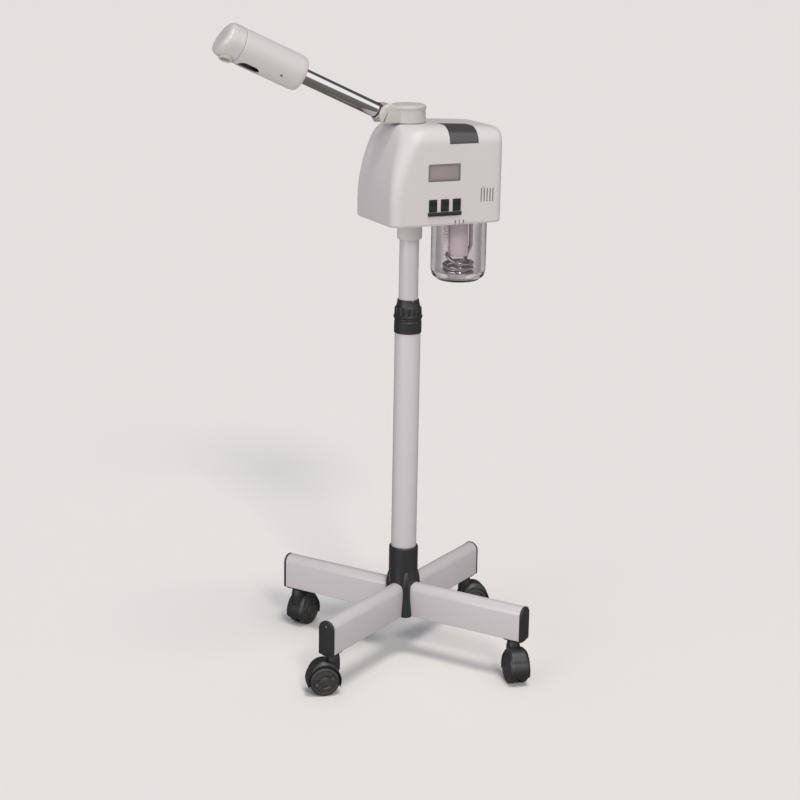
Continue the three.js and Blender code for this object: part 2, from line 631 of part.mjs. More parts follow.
// ---- rocker switches ------------------------------------------------------------------------
// A rocker's side view: a shallow V in front of its pivot, rocked to its off side at rest.
function rocker() {
  const half = SWITCH_SIZE[1] / 2 - 0.7;
  const spread = half * Math.tan(SWITCH_ROCK * THREE.MathUtils.DEG2RAD);
  const side = new THREE.Shape();
  side.moveTo(5, -half + 1.5).lineTo(-2 - spread, -half).lineTo(-2, 0);
  side.lineTo(-2 - spread, half).lineTo(5, half - 1.5);
  const width = SWITCH_SIZE[0] - 0.8;
  // The shape is drawn in (y, z) and pushed along X.
  const turnedUp = extruded(side, width).rotate([90, 0, 0]).rotate([0, 0, 90]);
  return turnedUp.translate([-width / 2, 0, 0]).rotate([SWITCH_ROCK, 0, 0]);
}

SWITCH_X.forEach((x, i) => {
  add(`switch_${i + 1}`, rocker().translate([x, CASE_FRONT + 1.5, SWITCH_Z]), BLACK_PLASTIC);
});

// ---- turret, arm and head -------------------------------------------------------------------
// Things on the arm are made along +Z from the ball's centre, then laid along the arm.
function onArm(body) {
  return body.rotate([0, ARM_TILT_DEG - 90, 0]).translate([BALL_X, 0, BALL_Z]);
}

function turret() {
  const rim = [[TURRET_R, TURRET_BOTTOM], [TURRET_R, TURRET_TOP - 7], [TURRET_R - 1.2, TURRET_TOP - 5]];
  const dome = [[TURRET_R - 4, TURRET_TOP - 2.6], [14, TURRET_TOP - 0.6], [0, TURRET_TOP]];
  const drum = turned([[0, TURRET_BOTTOM], ...rim, ...dome], FINE).translate([TURRET_X, 0, 0]);
  const spigot = rod(10.4, CASE_TOP - 4, TURRET_BOTTOM + 1, MEDIUM).translate([TURRET_X, 0, 0]);
  const lugDrum = rod(KNUCKLE_R, -KNUCKLE_R, KNUCKLE_R, FINE).rotate([90, 0, 0]);
  const lugEnd = lugDrum.translate([BALL_X, 0, BALL_Z]);
  const lugArm = box([BALL_X, -KNUCKLE_R, TURRET_BOTTOM], [TURRET_X, KNUCKLE_R, BALL_Z + 12]);
  const lugTrim = box([BALL_X - 30, -30, CASE_TOP - 30], [BALL_X + 30, 30, TURRET_BOTTOM]);
  const slot = box([BALL_X - 40, -BALL_R - 0.6, 780], [BALL_X + BALL_R + 1, BALL_R + 0.6, 900]);
  const pivotBore = rod(4.3, -30, 30, COARSE).rotate([90, 0, 0]).translate([BALL_X, 0, BALL_Z]);
  const steamBore = rod(6, CASE_TOP - 10, BALL_Z - 3, COARSE).translate([TURRET_X, 0, 0]);
  const steamWay = rod(5, -30, 0, COARSE).rotate([0, 90, 0]).translate([TURRET_X, 0, BALL_Z - 3]);
  const lug = cut(join(lugEnd, lugArm), lugTrim);
  return cut(join(drum, spigot, lug), slot, pivotBore, steamBore, steamWay);
}

// The ball carries the arm's socket and two stub axles that turn in the turret's lug.
function armBall() {
  const ball = solid(new THREE.SphereGeometry(BALL_R, 24, COARSE));
  const stubs = rod(4, -KNUCKLE_R + 1, KNUCKLE_R - 1, COARSE).rotate([90, 0, 0]);
  const socket = onArm(rod(ARM_R - ARM_WALL - GAP, 4, 22, MEDIUM)).translate([-BALL_X, 0, -BALL_Z]);
  const bore = onArm(rod(5, 0, 40, COARSE)).translate([-BALL_X, 0, -BALL_Z]);
  return cut(join(ball, stubs, socket), bore).translate([BALL_X, 0, BALL_Z]);
}

add("turret", turret(), WHITE_PLASTIC);
add("arm_ball", armBall(), WHITE_PLASTIC);
const armTube = pipe(ARM_R, ARM_R - ARM_WALL, 12.4, HEAD_START + 14, FINE);
add("arm_tube", onArm(armTube), CHROME);

const headOuter = [[0, 0], [HEAD_R - 6, 0], [HEAD_R - 1.6, 2.4], [HEAD_R, 7], [HEAD_R, HEAD_SEAM]];

function headShell() {
  const outer = turned([...headOuter, [0, HEAD_SEAM]], FINE);
  const inner = rod(HEAD_R - HEAD_WALL, 8, HEAD_SEAM + 1, FINE);
  const armBore = rod(ARM_R + GAP, -1, 9, FINE);
  const slotMiddle = (SLOT.along[0] + SLOT.along[1]) / 2;
  const slotLength = SLOT.along[1] - SLOT.along[0];
  const slot = extruded(roundedRect(slotLength, SLOT.width, SLOT.width / 2 - 0.1), 14, 6);
  const placed = slot.rotate([0, 90, 0]).translate([-HEAD_R - 4, 0, slotMiddle]);
  return cut(outer, inner, armBore, placed);
}

// The end cap: a short cup with a slanted, eased end and the nozzle's seat on its underside.
function headCap() {
  const end = HEAD_LENGTH;
  const seam = HEAD_SEAM + GAP;
  const rim = [[HEAD_R, seam], [HEAD_R, end - 6], [HEAD_R - 1.8, end - 2], [HEAD_R - 6, end], [0, end]];
  const cup = turned([[0, seam], ...rim], FINE);
  const spigot = rod(HEAD_R - HEAD_WALL - GAP, seam - 8, seam + 1, FINE);
  const hollow = rod(HEAD_R - 2 * HEAD_WALL - GAP, seam - 9, end - 14, FINE);
  const slant = box([-40, -40, 0], [40, 40, 60]).rotate([0, 14, 0]).translate([0, 0, end - 3.5]);
  const nozzleBore = rod(NOZZLE_R + GAP, -40, 0, MEDIUM).rotate([0, 90, 0]).translate([0, 0, NOZZLE_AT]);
  return cut(join(cup, spigot), hollow, slant, nozzleBore);
}

function nozzleRing() {
  const ring = pipe(NOZZLE_R, NOZZLE_R - 4, -HEAD_R - 2.4, -HEAD_R + 6, MEDIUM);
  return ring.rotate([0, 90, 0]).translate([0, 0, NOZZLE_AT]);
}

const inHead = (body) => onArm(body.rotate([0, 0, HEAD_ROLL_DEG]).translate([0, 0, HEAD_START]));
add("head_shell", inHead(headShell()), WHITE_PLASTIC);
add("head_cap", inHead(headCap()), WHITE_PLASTIC);
add("nozzle_ring", inHead(nozzleRing()), SILICONE);
add("uv_lamp", inHead(rod(4, 60, 98, COARSE).translate([-9, 0, 0])), GLASS);

export default stand;
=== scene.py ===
import math

import bmesh
import bpy
import numpy as np
from mathutils import Matrix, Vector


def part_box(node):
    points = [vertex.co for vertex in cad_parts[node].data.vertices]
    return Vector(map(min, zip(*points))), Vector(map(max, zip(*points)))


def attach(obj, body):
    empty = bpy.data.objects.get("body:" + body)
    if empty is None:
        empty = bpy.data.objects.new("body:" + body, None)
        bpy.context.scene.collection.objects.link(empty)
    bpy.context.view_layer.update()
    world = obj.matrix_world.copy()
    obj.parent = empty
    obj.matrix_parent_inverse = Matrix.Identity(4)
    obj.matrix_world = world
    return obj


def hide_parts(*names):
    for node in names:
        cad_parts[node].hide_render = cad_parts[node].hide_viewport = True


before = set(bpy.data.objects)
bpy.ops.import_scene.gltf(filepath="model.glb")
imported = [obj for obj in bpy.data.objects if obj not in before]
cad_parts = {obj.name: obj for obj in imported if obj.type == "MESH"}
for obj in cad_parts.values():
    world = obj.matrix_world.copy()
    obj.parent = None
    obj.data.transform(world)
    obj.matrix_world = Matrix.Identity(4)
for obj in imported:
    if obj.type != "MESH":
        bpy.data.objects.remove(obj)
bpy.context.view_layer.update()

# ---- legs ----------------------------------------------------
# Four arms of powder-coated steel tube, flat below and half round above, cut square and pushed
# into the hub. Every length in this file is in millimetres about the column's axis, until
# piece() turns it into metres in the object's own frame.
MM = 0.001
low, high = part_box("lower_tube")
COLUMN = np.array([(low.x + high.x) / 2, (low.y + high.y) / 2, 0.0])


def arc(radius, start, end, steps, centre=(0, 0)):
    """Points at centre + radius * (cos a, sin a), with a going evenly from start to end in degrees."""
    a = np.radians(np.linspace(start, end, steps + 1))
    return np.stack([centre[0] + radius * np.cos(a), centre[1] + radius * np.sin(a)], 1)


def eased(corners, radius, steps=5):
    """The polyline with each inner corner P replaced by the curve (1-t)^2 A + 2t(1-t) P + t^2 B,
    where A and B lie on its two sides, a radius away or at most 0.45 of the side."""
    p = np.array(corners, float)
    side = p[1:] - p[:-1]
    length = np.linalg.norm(side, axis=1, keepdims=True)
    reach = np.minimum(radius, 0.45 * length) / np.maximum(length, 1e-9)
    before = (p[1:-1] - side[:-1] * reach[:-1])[:, None]
    after = (p[1:-1] + side[1:] * reach[1:])[:, None]
    t = np.linspace(0, 1, steps + 1)[None, :, None]
    curve = (1 - t) ** 2 * before + 2 * t * (1 - t) * p[1:-1][:, None] + t**2 * after
    return np.concatenate([p[:1], curve.reshape(-1, 2), p[-1:]])


def rounded_rect(width, height, radius, steps=6):
    """A closed outline of four quarter circles, centred on the origin."""
    x, y = width / 2 - radius, height / 2 - radius
    corners = [(x, -y, -90), (x, y, 0), (-x, y, 90), (-x, -y, 180)]
    return np.concatenate([arc(radius, s, s + 90, steps, (cx, cy)) for cx, cy, s in corners])


def loft(rings, loop=False):
    """Quads between neighbouring rings, an array of (ring, point, 3) whose rings are closed.
    With loop the last ring joins the first. Faces are turned to give a positive volume."""
    rows, n = rings.shape[:2]
    row = np.arange(rows if loop else rows - 1)[:, None]
    here = row * n + np.arange(n)[None]
    beside = row * n + (np.arange(n)[None] + 1) % n
    above = (row + 1) % rows * n
    quads = np.stack([here, beside, above + beside - row * n, above + here - row * n], -1)
    quads = quads.reshape(-1, 4)
    points = rings.reshape(-1, 3)
    a, b, c, d = (points[quads[:, k]] for k in range(4))
    volume = np.einsum("ij,ij->", a, np.cross(b, c)) + np.einsum("ij,ij->", a, np.cross(c, d))
    return points, (quads if volume > 0 else quads[:, ::-1]).tolist()


def lathe(profile, sides=64, loop=False):
    """The surface (r cos a, r sin a, z) for [r, z] along a profile, with a going once round."""
    r, z = np.array(profile, float).T
    a = np.linspace(0, 2 * np.pi, sides, endpoint=False)
    rings = np.stack([np.outer(r, np.cos(a)), np.outer(r, np.sin(a)), np.outer(z, np.ones(sides))], -1)
    return loft(rings, loop)


def offset(outline, inset):
    """A closed outline with each point moved inwards by inset, along the normal of its neighbours."""
    run = np.roll(outline, -1, 0) - np.roll(outline, 1, 0)
    run /= np.maximum(np.linalg.norm(run, axis=1, keepdims=True), 1e-9)
    return outline + inset * np.stack([-run[:, 1], run[:, 0]], 1)


def prism(outline, bottom, top, ease=0.6, steps=4):
    """An anticlockwise outline carried from z = bottom to top. Each end is rounded by a quarter
    circle of radius ease and closed by a fan to the middle."""
    a = np.linspace(0, np.pi / 2, steps + 1)
    inset = ease * (1 - np.sin(a))
    climb = ease * (1 - np.cos(a))
    levels = [(inset[k], bottom + climb[k]) for k in range(steps + 1)]
    levels += [(inset[k], top - climb[k]) for k in range(steps, -1, -1)]
    rings = [np.column_stack([offset(outline, i), np.full(len(outline), z)]) for i, z in levels]
    middle = outline.mean(0)
    ends = [np.tile([*middle, z], (len(outline), 1)) for z in (bottom, top)]
    return loft(np.stack([ends[0], *rings, ends[1]]))


def joined(*parts):
    """Several (points, faces) as one."""
    starts = np.cumsum([0] + [len(points) for points, _ in parts])
    faces = [[i + start for i in face] for (_, fs), start in zip(parts, starts) for face in fs]
    return np.concatenate([points for points, _ in parts]), faces


def turned(part, degrees, axis="z"):
    """The part turned about an axis through the origin."""
    a = math.radians(degrees)
    c, s = math.cos(a), math.sin(a)
    matrix = {
        "x": [[1, 0, 0], [0, c, -s], [0, s, c]],
        "y": [[c, 0, s], [0, 1, 0], [-s, 0, c]],
        "z": [[c, -s, 0], [s, c, 0], [0, 0, 1]],
    }[axis]
    return part[0] @ np.array(matrix).T, part[1]


def moved(part, by):
    return part[0] + np.array(by, float), part[1]


def along_x(part):
    """The part with its z laid along +X and its outline upright: (x, y, z) goes to (z, x, y)."""
    return part[0][:, [2, 0, 1]], part[1]


def upright(part):
    """The part with its outline in the XZ plane and its z along +Y: (x, y, z) goes to (x, z, y)."""
    return part[0][:, [0, 2, 1]], [face[::-1] for face in part[1]]


def clean_mesh(name, part):
    """A Blender mesh of a part, in metres, with doubled points and collapsed faces merged away."""
    mesh = bpy.data.meshes.new(name)
    mesh.from_pydata((part[0] * MM + COLUMN).tolist(), [], part[1])
    work = bmesh.new()
    work.from_mesh(mesh)
    bmesh.ops.remove_doubles(work, verts=work.verts, dist=2e-6)
    bmesh.ops.dissolve_degenerate(work, edges=work.edges, dist=1e-7)
    work.to_mesh(mesh)
    work.free()
    return mesh


def piece(name, part, look, body, nodes=(), sharp=32):
    """One finished piece: its mesh and material, the body it rides on and the nodes it stands for."""
    mesh = clean_mesh(name, part)
    mesh.shade_smooth()
    mesh.set_sharp_from_angle(angle=math.radians(sharp))
    mesh.materials.append(look)
    made = bpy.data.objects.new(name, mesh)
    bpy.context.scene.collection.objects.link(made)
    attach(made, body)
    if nodes:
        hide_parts(*nodes)


def fed(tree, node, sockets):
    """A node, made here if only its kind is given, with each input set to a constant or linked."""
    if isinstance(node, str):
        node = tree.nodes.new(f"ShaderNode{node}")
    for key, value in sockets.items():
        if isinstance(value, bpy.types.NodeSocket):
            tree.links.new(value, node.inputs[key])
        else:
            node.inputs[key].default_value = value
    return node


def calc(tree, operation, a, b):
    node = tree.nodes.new("ShaderNodeMath")
    node.operation = operation
    return fed(tree, node, {0: a, 1: b}).outputs[0]


def mixed(tree, share, a, b):
    """Colour a * (1 - share) + b * share."""
    node = tree.nodes.new("ShaderNodeMix")
    node.data_type = "RGBA"
    return fed(tree, node, {0: share, 6: a, 7: b}).outputs[2]


def finish_group():
    """The shared finish of moulded and coated pieces: a slow drift of colour towards its soiled
    shade, small specks of that shade, and two scales of height for grain and ripple."""
    tree = bpy.data.node_groups.new("moulded finish", "ShaderNodeTree")
    for into, names in (
            ("INPUT", ("Colour", "Soiling", "Drift", "Specks", "Grain Scale", "Ripple Scale", "Ripple",
                       "Roughness", "Roughness Spread")),
            ("OUTPUT", ("Colour", "Roughness", "Height"))):
        for name in names:
            kind = "Color" if name in ("Colour", "Soiling") else "Float"
            tree.interface.new_socket(name=name, in_out=into, socket_type=f"NodeSocket{kind}")
    given = tree.nodes.new("NodeGroupInput").outputs
    place = tree.nodes.new("ShaderNodeTexCoord").outputs["Object"]

    def noise(scale, detail):
        return fed(tree, "TexNoise", {"Vector": place, "Scale": scale, "Detail": detail}).outputs["Fac"]

    speck = fed(tree, "MapRange", {"Value": noise(420.0, 1.0), "From Min": 0.70, "From Max": 0.76})
    drift = calc(tree, "MULTIPLY", noise(9.0, 4.0), given["Drift"])
    specks = calc(tree, "MULTIPLY", speck.outputs[0], given["Specks"])
    drifted = mixed(tree, drift, given["Colour"], given["Soiling"])
    uneven = calc(tree, "SUBTRACT", noise(34.0, 5.0), 0.5)
    uneven = calc(tree, "MULTIPLY", uneven, given["Roughness Spread"])
    ripple = calc(tree, "MULTIPLY", noise(given["Ripple Scale"], 1.0), given["Ripple"])
    fed(tree, tree.nodes.new("NodeGroupOutput"), {
        "Colour": mixed(tree, specks, drifted, given["Soiling"]),
        "Roughness": calc(tree, "ADD", given["Roughness"], uneven),
        "Height": calc(tree, "ADD", noise(given["Grain Scale"], 2.0), ripple)})
    return tree


FINISH = finish_group()


def finished(name, slot, colour, soiling, drift=0.1, specks=0.05, grain=2500.0, ripple_scale=60.0,
             ripple=0.3, roughness=0.4, spread=0.1, bump=0.1, bump_mm=0.05, **shader):
    """A material of the shared finish: the group's colour, roughness and height over its own shader,
    whose constants are set on the shader's own sockets."""
    look = bpy.data.materials.new(name)
    look.use_nodes = True
    tree = look.node_tree
    group = tree.nodes.new("ShaderNodeGroup")
    group.node_tree = FINISH
    given = fed(tree, group, {
        "Colour": (*colour, 1), "Soiling": (*soiling, 1), "Drift": drift, "Specks": specks,
        "Grain Scale": grain, "Ripple Scale": ripple_scale, "Ripple": ripple,
        "Roughness": roughness, "Roughness Spread": spread}).outputs
    height = fed(tree, "Bump", {"Strength": bump, "Distance": bump_mm * MM, "Height": given["Height"]})
    own = {key.replace("_", " ").title().replace("Ior", "IOR"): value for key, value in shader.items()}
    fed(tree, tree.nodes["Principled BSDF"], {
        "Base Color": given["Colour"], "Roughness": given["Roughness"], "Normal": height.outputs[0],
        **own})
    return look


white_paint = finished(
    "white powder coat", "white_paint", (0.56, 0.535, 0.545), (0.44, 0.415, 0.41), drift=0.14,
    specks=0.25, grain=1500.0, ripple_scale=420.0, ripple=1.4, roughness=0.34, spread=0.16, bump=0.16,
    bump_mm=0.08, coat_weight=0.25, coat_roughness=0.12)
black_plastic = finished(
    "black moulded plastic", "black_plastic", (0.013, 0.013, 0.015), (0.055, 0.053, 0.05), drift=0.35,
    specks=0.3, grain=1900.0, ripple=0.4, spread=0.2, bump=0.22, bump_mm=0.09, specular_ior_level=0.5)

LEG_ANGLES = [33 + 90 * k for k in range(4)]
LEG_WIDTH, LEG_BOTTOM, LEG_TOP = 25.0, 64.0, 116.0
LEG_START, LEG_END, CAP_THICK = 16.0, 212.0, 4.0


def leg_outline(margin, corner=2.2):
    """The section as (y, z): two small arcs below and a half circle above."""
    half = LEG_WIDTH / 2 + margin
    foot = LEG_BOTTOM - margin
    corner += margin
    return np.concatenate([
        arc(corner, -90, 0, 4, (half - corner, foot + corner)),
        arc(half, 0, 180, 24, (0, LEG_TOP - LEG_WIDTH / 2)),
        arc(corner, 180, 270, 4, (corner - half, foot + corner)),
    ])


for k, angle in enumerate(LEG_ANGLES, 1):
    bar = along_x(prism(leg_outline(0), LEG_START, LEG_END - CAP_THICK, 0.3))
    piece(f"leg_{k}_tube", turned(bar, angle), white_paint, "base", [f"leg_{k}"])

# ---- leg caps ------------------------------------------------
# Black moulded caps pressed into the legs' ends. Each has a rounded face with a small bright
# fixing near its top and a tongue that runs back under the leg to the caster's stem.
TONGUE_LENGTH, TONGUE_WIDTH = 33.0, 19.0
bright_steel = finished(
    "bright steel", "steel", (0.55, 0.55, 0.56), (0.30, 0.29, 0.28), drift=0.3, specks=0.2, grain=900.0,
    ripple=0.2, roughness=0.24, spread=0.2, bump=0.06, metallic=1.0)

for k, angle in enumerate(LEG_ANGLES, 1):
    face = along_x(prism(leg_outline(0.6), LEG_END - CAP_THICK + 0.2, LEG_END, 1.7, 6))
    tongue = prism(rounded_rect(TONGUE_LENGTH - 1, TONGUE_WIDTH, 5), LEG_BOTTOM - 2.3, LEG_BOTTOM - 0.4,
                   0.5)
    tongue = moved(tongue, (LEG_END - TONGUE_LENGTH / 2 - 0.5, 0, 0))
    web = along_x(prism(rounded_rect(3, 8, 1) + [0, LEG_BOTTOM + 2], LEG_END - 14, LEG_END - 1, 0.6))
    cap = turned(joined(face, tongue, web), angle)
    piece(f"leg_{k}_cap", cap, black_plastic, "base", [f"leg_cap_{k}"])
    rivet = along_x(lathe(eased([[0, 0], [2.1, 0], [2.1, 0.5], [1.2, 1.0], [0, 1.1]], 0.4), 24))
    rivet = turned(moved(rivet, (LEG_END - 0.9, 0, LEG_TOP - 9)), angle)
    piece(f"leg_{k}_cap_fixing", rivet, bright_steel, "base")

# ---- casters -------------------------------------------------
# Twin-wheel swivel casters: a moulded hood with a web between the wheels and a neck that turns
# on a plated stem, and two black wheels with a rubbed tread and a dished face.
WHEEL_R, WHEEL_WIDTH, WHEEL_SPACING, TRAIL = 22.15, 11.0, 19.0, 14.0
axle_low, axle_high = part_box("caster_axle_1")
AXLE_Z = (axle_low.z + axle_high.z) / 2 / MM
AXLE = (TRAIL, 0, AXLE_Z)
HOOD_R, CROWN_R, CROWN_Z, HOOD_INNER, EDGE_DROP = 25.2, 21.5, 31.5, 23.3, 5.5
caster_tyre = finished(
    "black tread", "caster_tyre", (0.018, 0.018, 0.019), (0.12, 0.115, 0.105), drift=0.35, specks=0.7,
    grain=1400.0, ripple=0.5, roughness=0.52, spread=0.25, bump=0.3, bump_mm=0.1)


def rod(radius, low, high, ease, sides):
    """A solid cylinder with eased ends."""
    return lathe(eased([[0, low], [radius, low], [radius, high], [0, high]], ease), sides)


def hood_radius(a):
    """How far the egg-shaped hood's outside is from the axle at angle a: the larger of its own
    circle and the crown circle above it."""
    rise = CROWN_Z - AXLE_Z
    crown = rise * np.sin(a) + np.sqrt(CROWN_R**2 - (rise * np.cos(a)) ** 2)
    return np.maximum(HOOD_R, crown)


def caster_hood():
    """An arch over both wheels, rounded along its edges, a web between them and the stem's neck."""
    half = WHEEL_SPACING / 2 + WHEEL_WIDTH / 2
    a = np.radians(np.linspace(-20, 200, 72))
    thick = hood_radius(a) - HOOD_INNER
    section = rounded_rect(1.0, 2 * half, 0.45, 12)
    section = np.concatenate([section, section[:1]])
    run = np.linalg.norm(np.diff(section, axis=0), axis=1).cumsum()
    even = np.linspace(0, run[-1], 96, endpoint=False)
    section = np.stack([np.interp(even, np.append(0, run), section[:, i]) for i in (0, 1)], 1)
    radius = HOOD_INNER + np.outer(thick, section[:, 0] + 0.5)
    edge = np.clip(np.abs(section[:, 1]) - (half - EDGE_DROP), 0, EDGE_DROP) / EDGE_DROP
    radius -= np.outer(0.85 * thick, edge**2 * (section[:, 0] > 0))
    rings = np.stack([TRAIL + radius * np.cos(a)[:, None],
                      np.broadcast_to(section[:, 1], radius.shape),
                      AXLE_Z + radius * np.sin(a)[:, None]], -1)
    caps = [np.tile(rings[i].mean(0), (len(section), 1)) for i in (0, -1)]
    arch = loft(np.concatenate([caps[0][None], rings, caps[1][None]]))
    b = np.radians(np.linspace(-26, 206, 48))
    rim = np.stack([TRAIL + (hood_radius(b) - 0.8) * np.cos(b),
                    AXLE_Z + (hood_radius(b) - 0.8) * np.sin(b)], 1)
    web = upright(prism(rim, -2.9, 2.9, 0.6))
    neck = lathe(eased([[0, 36], [10.3, 36], [10.3, 52], [8.8, 60.4], [0, 60.4]], 1.2), 48)
    boss = upright(rod(8.5, -3.8, 3.8, 0.5, 32))
    return joined(arch, web, neck, moved(boss, AXLE))


def wheel(side):
    """A lathe profile [radius, across]: a rounded tread, a dished outer face with a raised ring,
    five shallow pockets and a domed middle."""
    h = WHEEL_WIDTH / 2
    inner_rim = arc(2.0, -90, 0, 5, (WHEEL_R - 2.0, -h + 2.0)).tolist()
    outer_rim = arc(4.4, 0, 78, 9, (WHEEL_R - 4.4, h - 4.4)).tolist()
    face = [[17.6, h - 0.1], [17.1, h - 1.2], [15.8, h - 1.3], [15.2, h - 0.2], [10, h],
            [9.2, h - 1.0], [6.6, h - 1.0], [6.0, h + 0.2], [0, h + 0.5]]
    profile = [[0, -h], [4, -h], *inner_rim, *outer_rim, *eased(face, 0.5, 3)]
    points, faces = lathe(profile, 80)
    r = np.hypot(points[:, 0], points[:, 1])
    a = np.arctan2(points[:, 1], points[:, 0])
    pocket = np.clip((np.cos(5 * a) - 0.15) * 3, 0, 1) * ((r > 9.3) & (r < 15.1) & (points[:, 2] > 0))
    points[:, 2] -= 0.9 * pocket
    part = upright((points, faces))
    if side < 0:
        part = turned(part, 180)
    return moved(part, (0, side * WHEEL_SPACING / 2, 0))


CASTER_YAWS = [-10, 29, 167, -100]
CASTER_R = 193.0
for k, (angle, yaw) in enumerate(zip(LEG_ANGLES, CASTER_YAWS), 1):
    swivel = (CASTER_R * math.cos(math.radians(angle)), CASTER_R * math.sin(math.radians(angle)), 0)

    def in_caster(part):
        return moved(turned(part, yaw), swivel)

    piece(f"caster_{k}_fork", in_caster(caster_hood()), black_plastic, f"caster_{k}",
          [f"caster_hood_{k}"])
    stem = lathe(eased([
        [0, 44.6], [5.2, 44.6], [5.2, 60.5], [8, 60.5], [8, 61.4], [5.2, 61.6], [5.2, 93], [0, 94]
    ], 0.5), 32)
    piece(f"caster_{k}_pin", in_caster(stem), bright_steel, f"caster_{k}", [f"caster_stem_{k}"])
    axle = upright(rod(4, -12.5, 12.5, 0.5, 24))
    piece(f"caster_{k}_axle", in_caster(moved(axle, AXLE)), bright_steel, f"caster_{k}",
          [f"caster_axle_{k}"])
    for side, letter in ((1, "a"), (-1, "b")):
        roller = in_caster(moved(wheel(side), AXLE))
        piece(f"caster_{k}_wheel_{letter}", roller, caster_tyre, f"wheel_{k}{letter}",
              [f"wheel_{k}{letter}"])

# ---- hub -----------------------------------------------------
# One black moulding: a sleeve that takes the lower tube and arches over the legs, and a waisted
# post in each corner between two legs, held from below by a hexagon bolt.
HUB_R, HUB_TOP, HUB_BOTTOM, CORE_TOP, POST_AT = 22.0, 172.0, 63.0, 118.0, 19.0
sleeve = lathe(eased([
    [0, 100], [19.5, 100], [HUB_R, 104], [HUB_R, HUB_TOP - 1.6], [HUB_R - 1.2, HUB_TOP],
    [19.4, HUB_TOP], [19.2, 168], [19.2, CORE_TOP], [0, CORE_TOP]
], 0.9), 96)
waist = eased([
    [0, HUB_BOTTOM], [10.8, HUB_BOTTOM], [9.6, 74], [7.6, 92], [7.3, 106], [7.6, 114], [6.0, 125],
    [3.2, 134], [0, 136]
], 4, 6)
posts = [turned(moved(lathe(waist, 40), (POST_AT, 0, 0)), angle + 45) for angle in LEG_ANGLES]
core = turned(prism(rounded_rect(30, 30, 3), HUB_BOTTOM, CORE_TOP, 0.6), LEG_ANGLES[0])
piece("hub_moulding", joined(sleeve, *posts, core), black_plastic, "base", ["hub"])
bolt_head = prism(arc(8, 0, 300, 5), HUB_BOTTOM - 6.8, HUB_BOTTOM - 0.3, 0.7)
piece("hub_bolt_head", bolt_head, bright_steel, "base", ["hub_bolt"])

# ---- column tubes --------------------------------------------
# Two powder-coated steel tubes, the upper sliding in the lower, cut square with eased ends.
LOWER_R, UPPER_R, TUBE_WALL = 19.05, 14.3, 1.5
LOWER_ENDS, UPPER_ENDS = (118, 515), (215, 690)


def pipe(outer, inner, bottom, top, ease=0.4, sides=96):
    """A tube as a lathe of its rectangular section, rounded at the corners and closed on itself."""
    middle = [(outer + inner) / 2, (bottom + top) / 2]
    return lathe(rounded_rect(outer - inner, top - bottom, ease, 3) + middle, sides, True)


piece("lower_tube_wall", pipe(LOWER_R, LOWER_R - TUBE_WALL, *LOWER_ENDS), white_paint, "base",
      ["lower_tube"])
piece("upper_tube_wall", pipe(UPPER_R, UPPER_R - TUBE_WALL, *UPPER_ENDS), white_paint, "column",
      ["upper_tube"])
piece("guide_bush_sleeve", pipe(17.2, 14.6, 465, 514), black_plastic, "base", ["guide_bush"])

# ---- height clamp --------------------------------------------
# A black collar fixed on the lower tube and a ribbed nut that is turned by hand to lock the
# upper tube. The nut narrows upwards and has a notched rim.
CLAMP_BOTTOM, CLAMP_TOP, NUT_TOP = 503.0, 525.0, 553.0
collar_section = [[19.25, CLAMP_BOTTOM], [20.0, CLAMP_BOTTOM], [20.3, CLAMP_BOTTOM + 1.5],
                  [20.3, CLAMP_TOP - 5], [19.6, CLAMP_TOP - 4], [19.6, CLAMP_TOP - 3],
                  [20.3, CLAMP_TOP - 2], [20.1, CLAMP_TOP], [14.6, CLAMP_TOP], [14.6, CLAMP_TOP - 4],
                  [19.25, CLAMP_TOP - 8], [19.25, CLAMP_BOTTOM]]
collar = lathe(eased(collar_section, 0.4), 96)
piece("clamp_collar", collar, black_plastic, "base", ["clamp_body"])


def ribbed_nut(ribs=16, depth=1.3):
    """A lathe whose radius grows by depth * clip(2 cos(ribs a) + 0.4, 0, 1) over the grip's height."""
    low, top = CLAMP_TOP + 0.3, NUT_TOP
    section = eased([
        [14.6, low], [21.2, low], [21.5, low + 3.2], [19.6, low + 4.6], [18.6, top - 12],
        [17.6, top - 10], [16.4, top - 4.4], [16.2, top - 2.6], [15.8, top], [14.6, top], [14.6, low]
    ], 0.5)
    points, faces = lathe(section, 192)
    a, r = np.arctan2(points[:, 1], points[:, 0]), np.hypot(points[:, 0], points[:, 1])
    z = points[:, 2]
    height = np.clip((z - low - 4.0) / 2, 0, 1) * np.clip((top - 10.5 - z) / 2, 0, 1)
    grow = depth * np.clip(2 * np.cos(ribs * a) + 0.4, 0, 1) * height * (r > 15.5)
    points[:, :2] *= (1 + grow / r)[:, None]
    notch = (np.cos(4 * a) > 0.93) * np.clip((z - top + 2.4) / 2.4, 0, 1)
    points[:, 2] -= 2.0 * notch
    return points, faces


piece("clamp_grip_nut", ribbed_nut(), black_plastic, "clamp_nut", ["clamp_nut"])

# ---- case cover ----------------------------------------------
# A thin white moulding, open below: a rounded box whose left wall leans in towards the turret
# and whose top falls away to the right. Its holes are cut for the lid, turret, display,
# switches, vents and rear panel.
CASE_LEFT, CASE_RIGHT, CASE_FRONT, CASE_BACK = -57.0, 120.0, -62.0, 70.0
CASE_BOTTOM, CASE_TOP = 670.0, 811.5
CASE_WALL, CASE_LEAN, LEAN_FROM = 2.5, 26.0, 700.0
TOP_SLOPE, SLOPE_FROM, FALL_FROM = 0.05, 22.0, 760.0
FRONT_ROUND, BACK_ROUND, SIDE_ROUND = 25.0, 28.0, 9.0


def round_in(z, radius, top):
    """How far a side rounded into the top by a circle has come in at height z."""
    above = np.clip(z - (top - radius), 0, radius)
    return radius - np.sqrt(radius**2 - above**2)


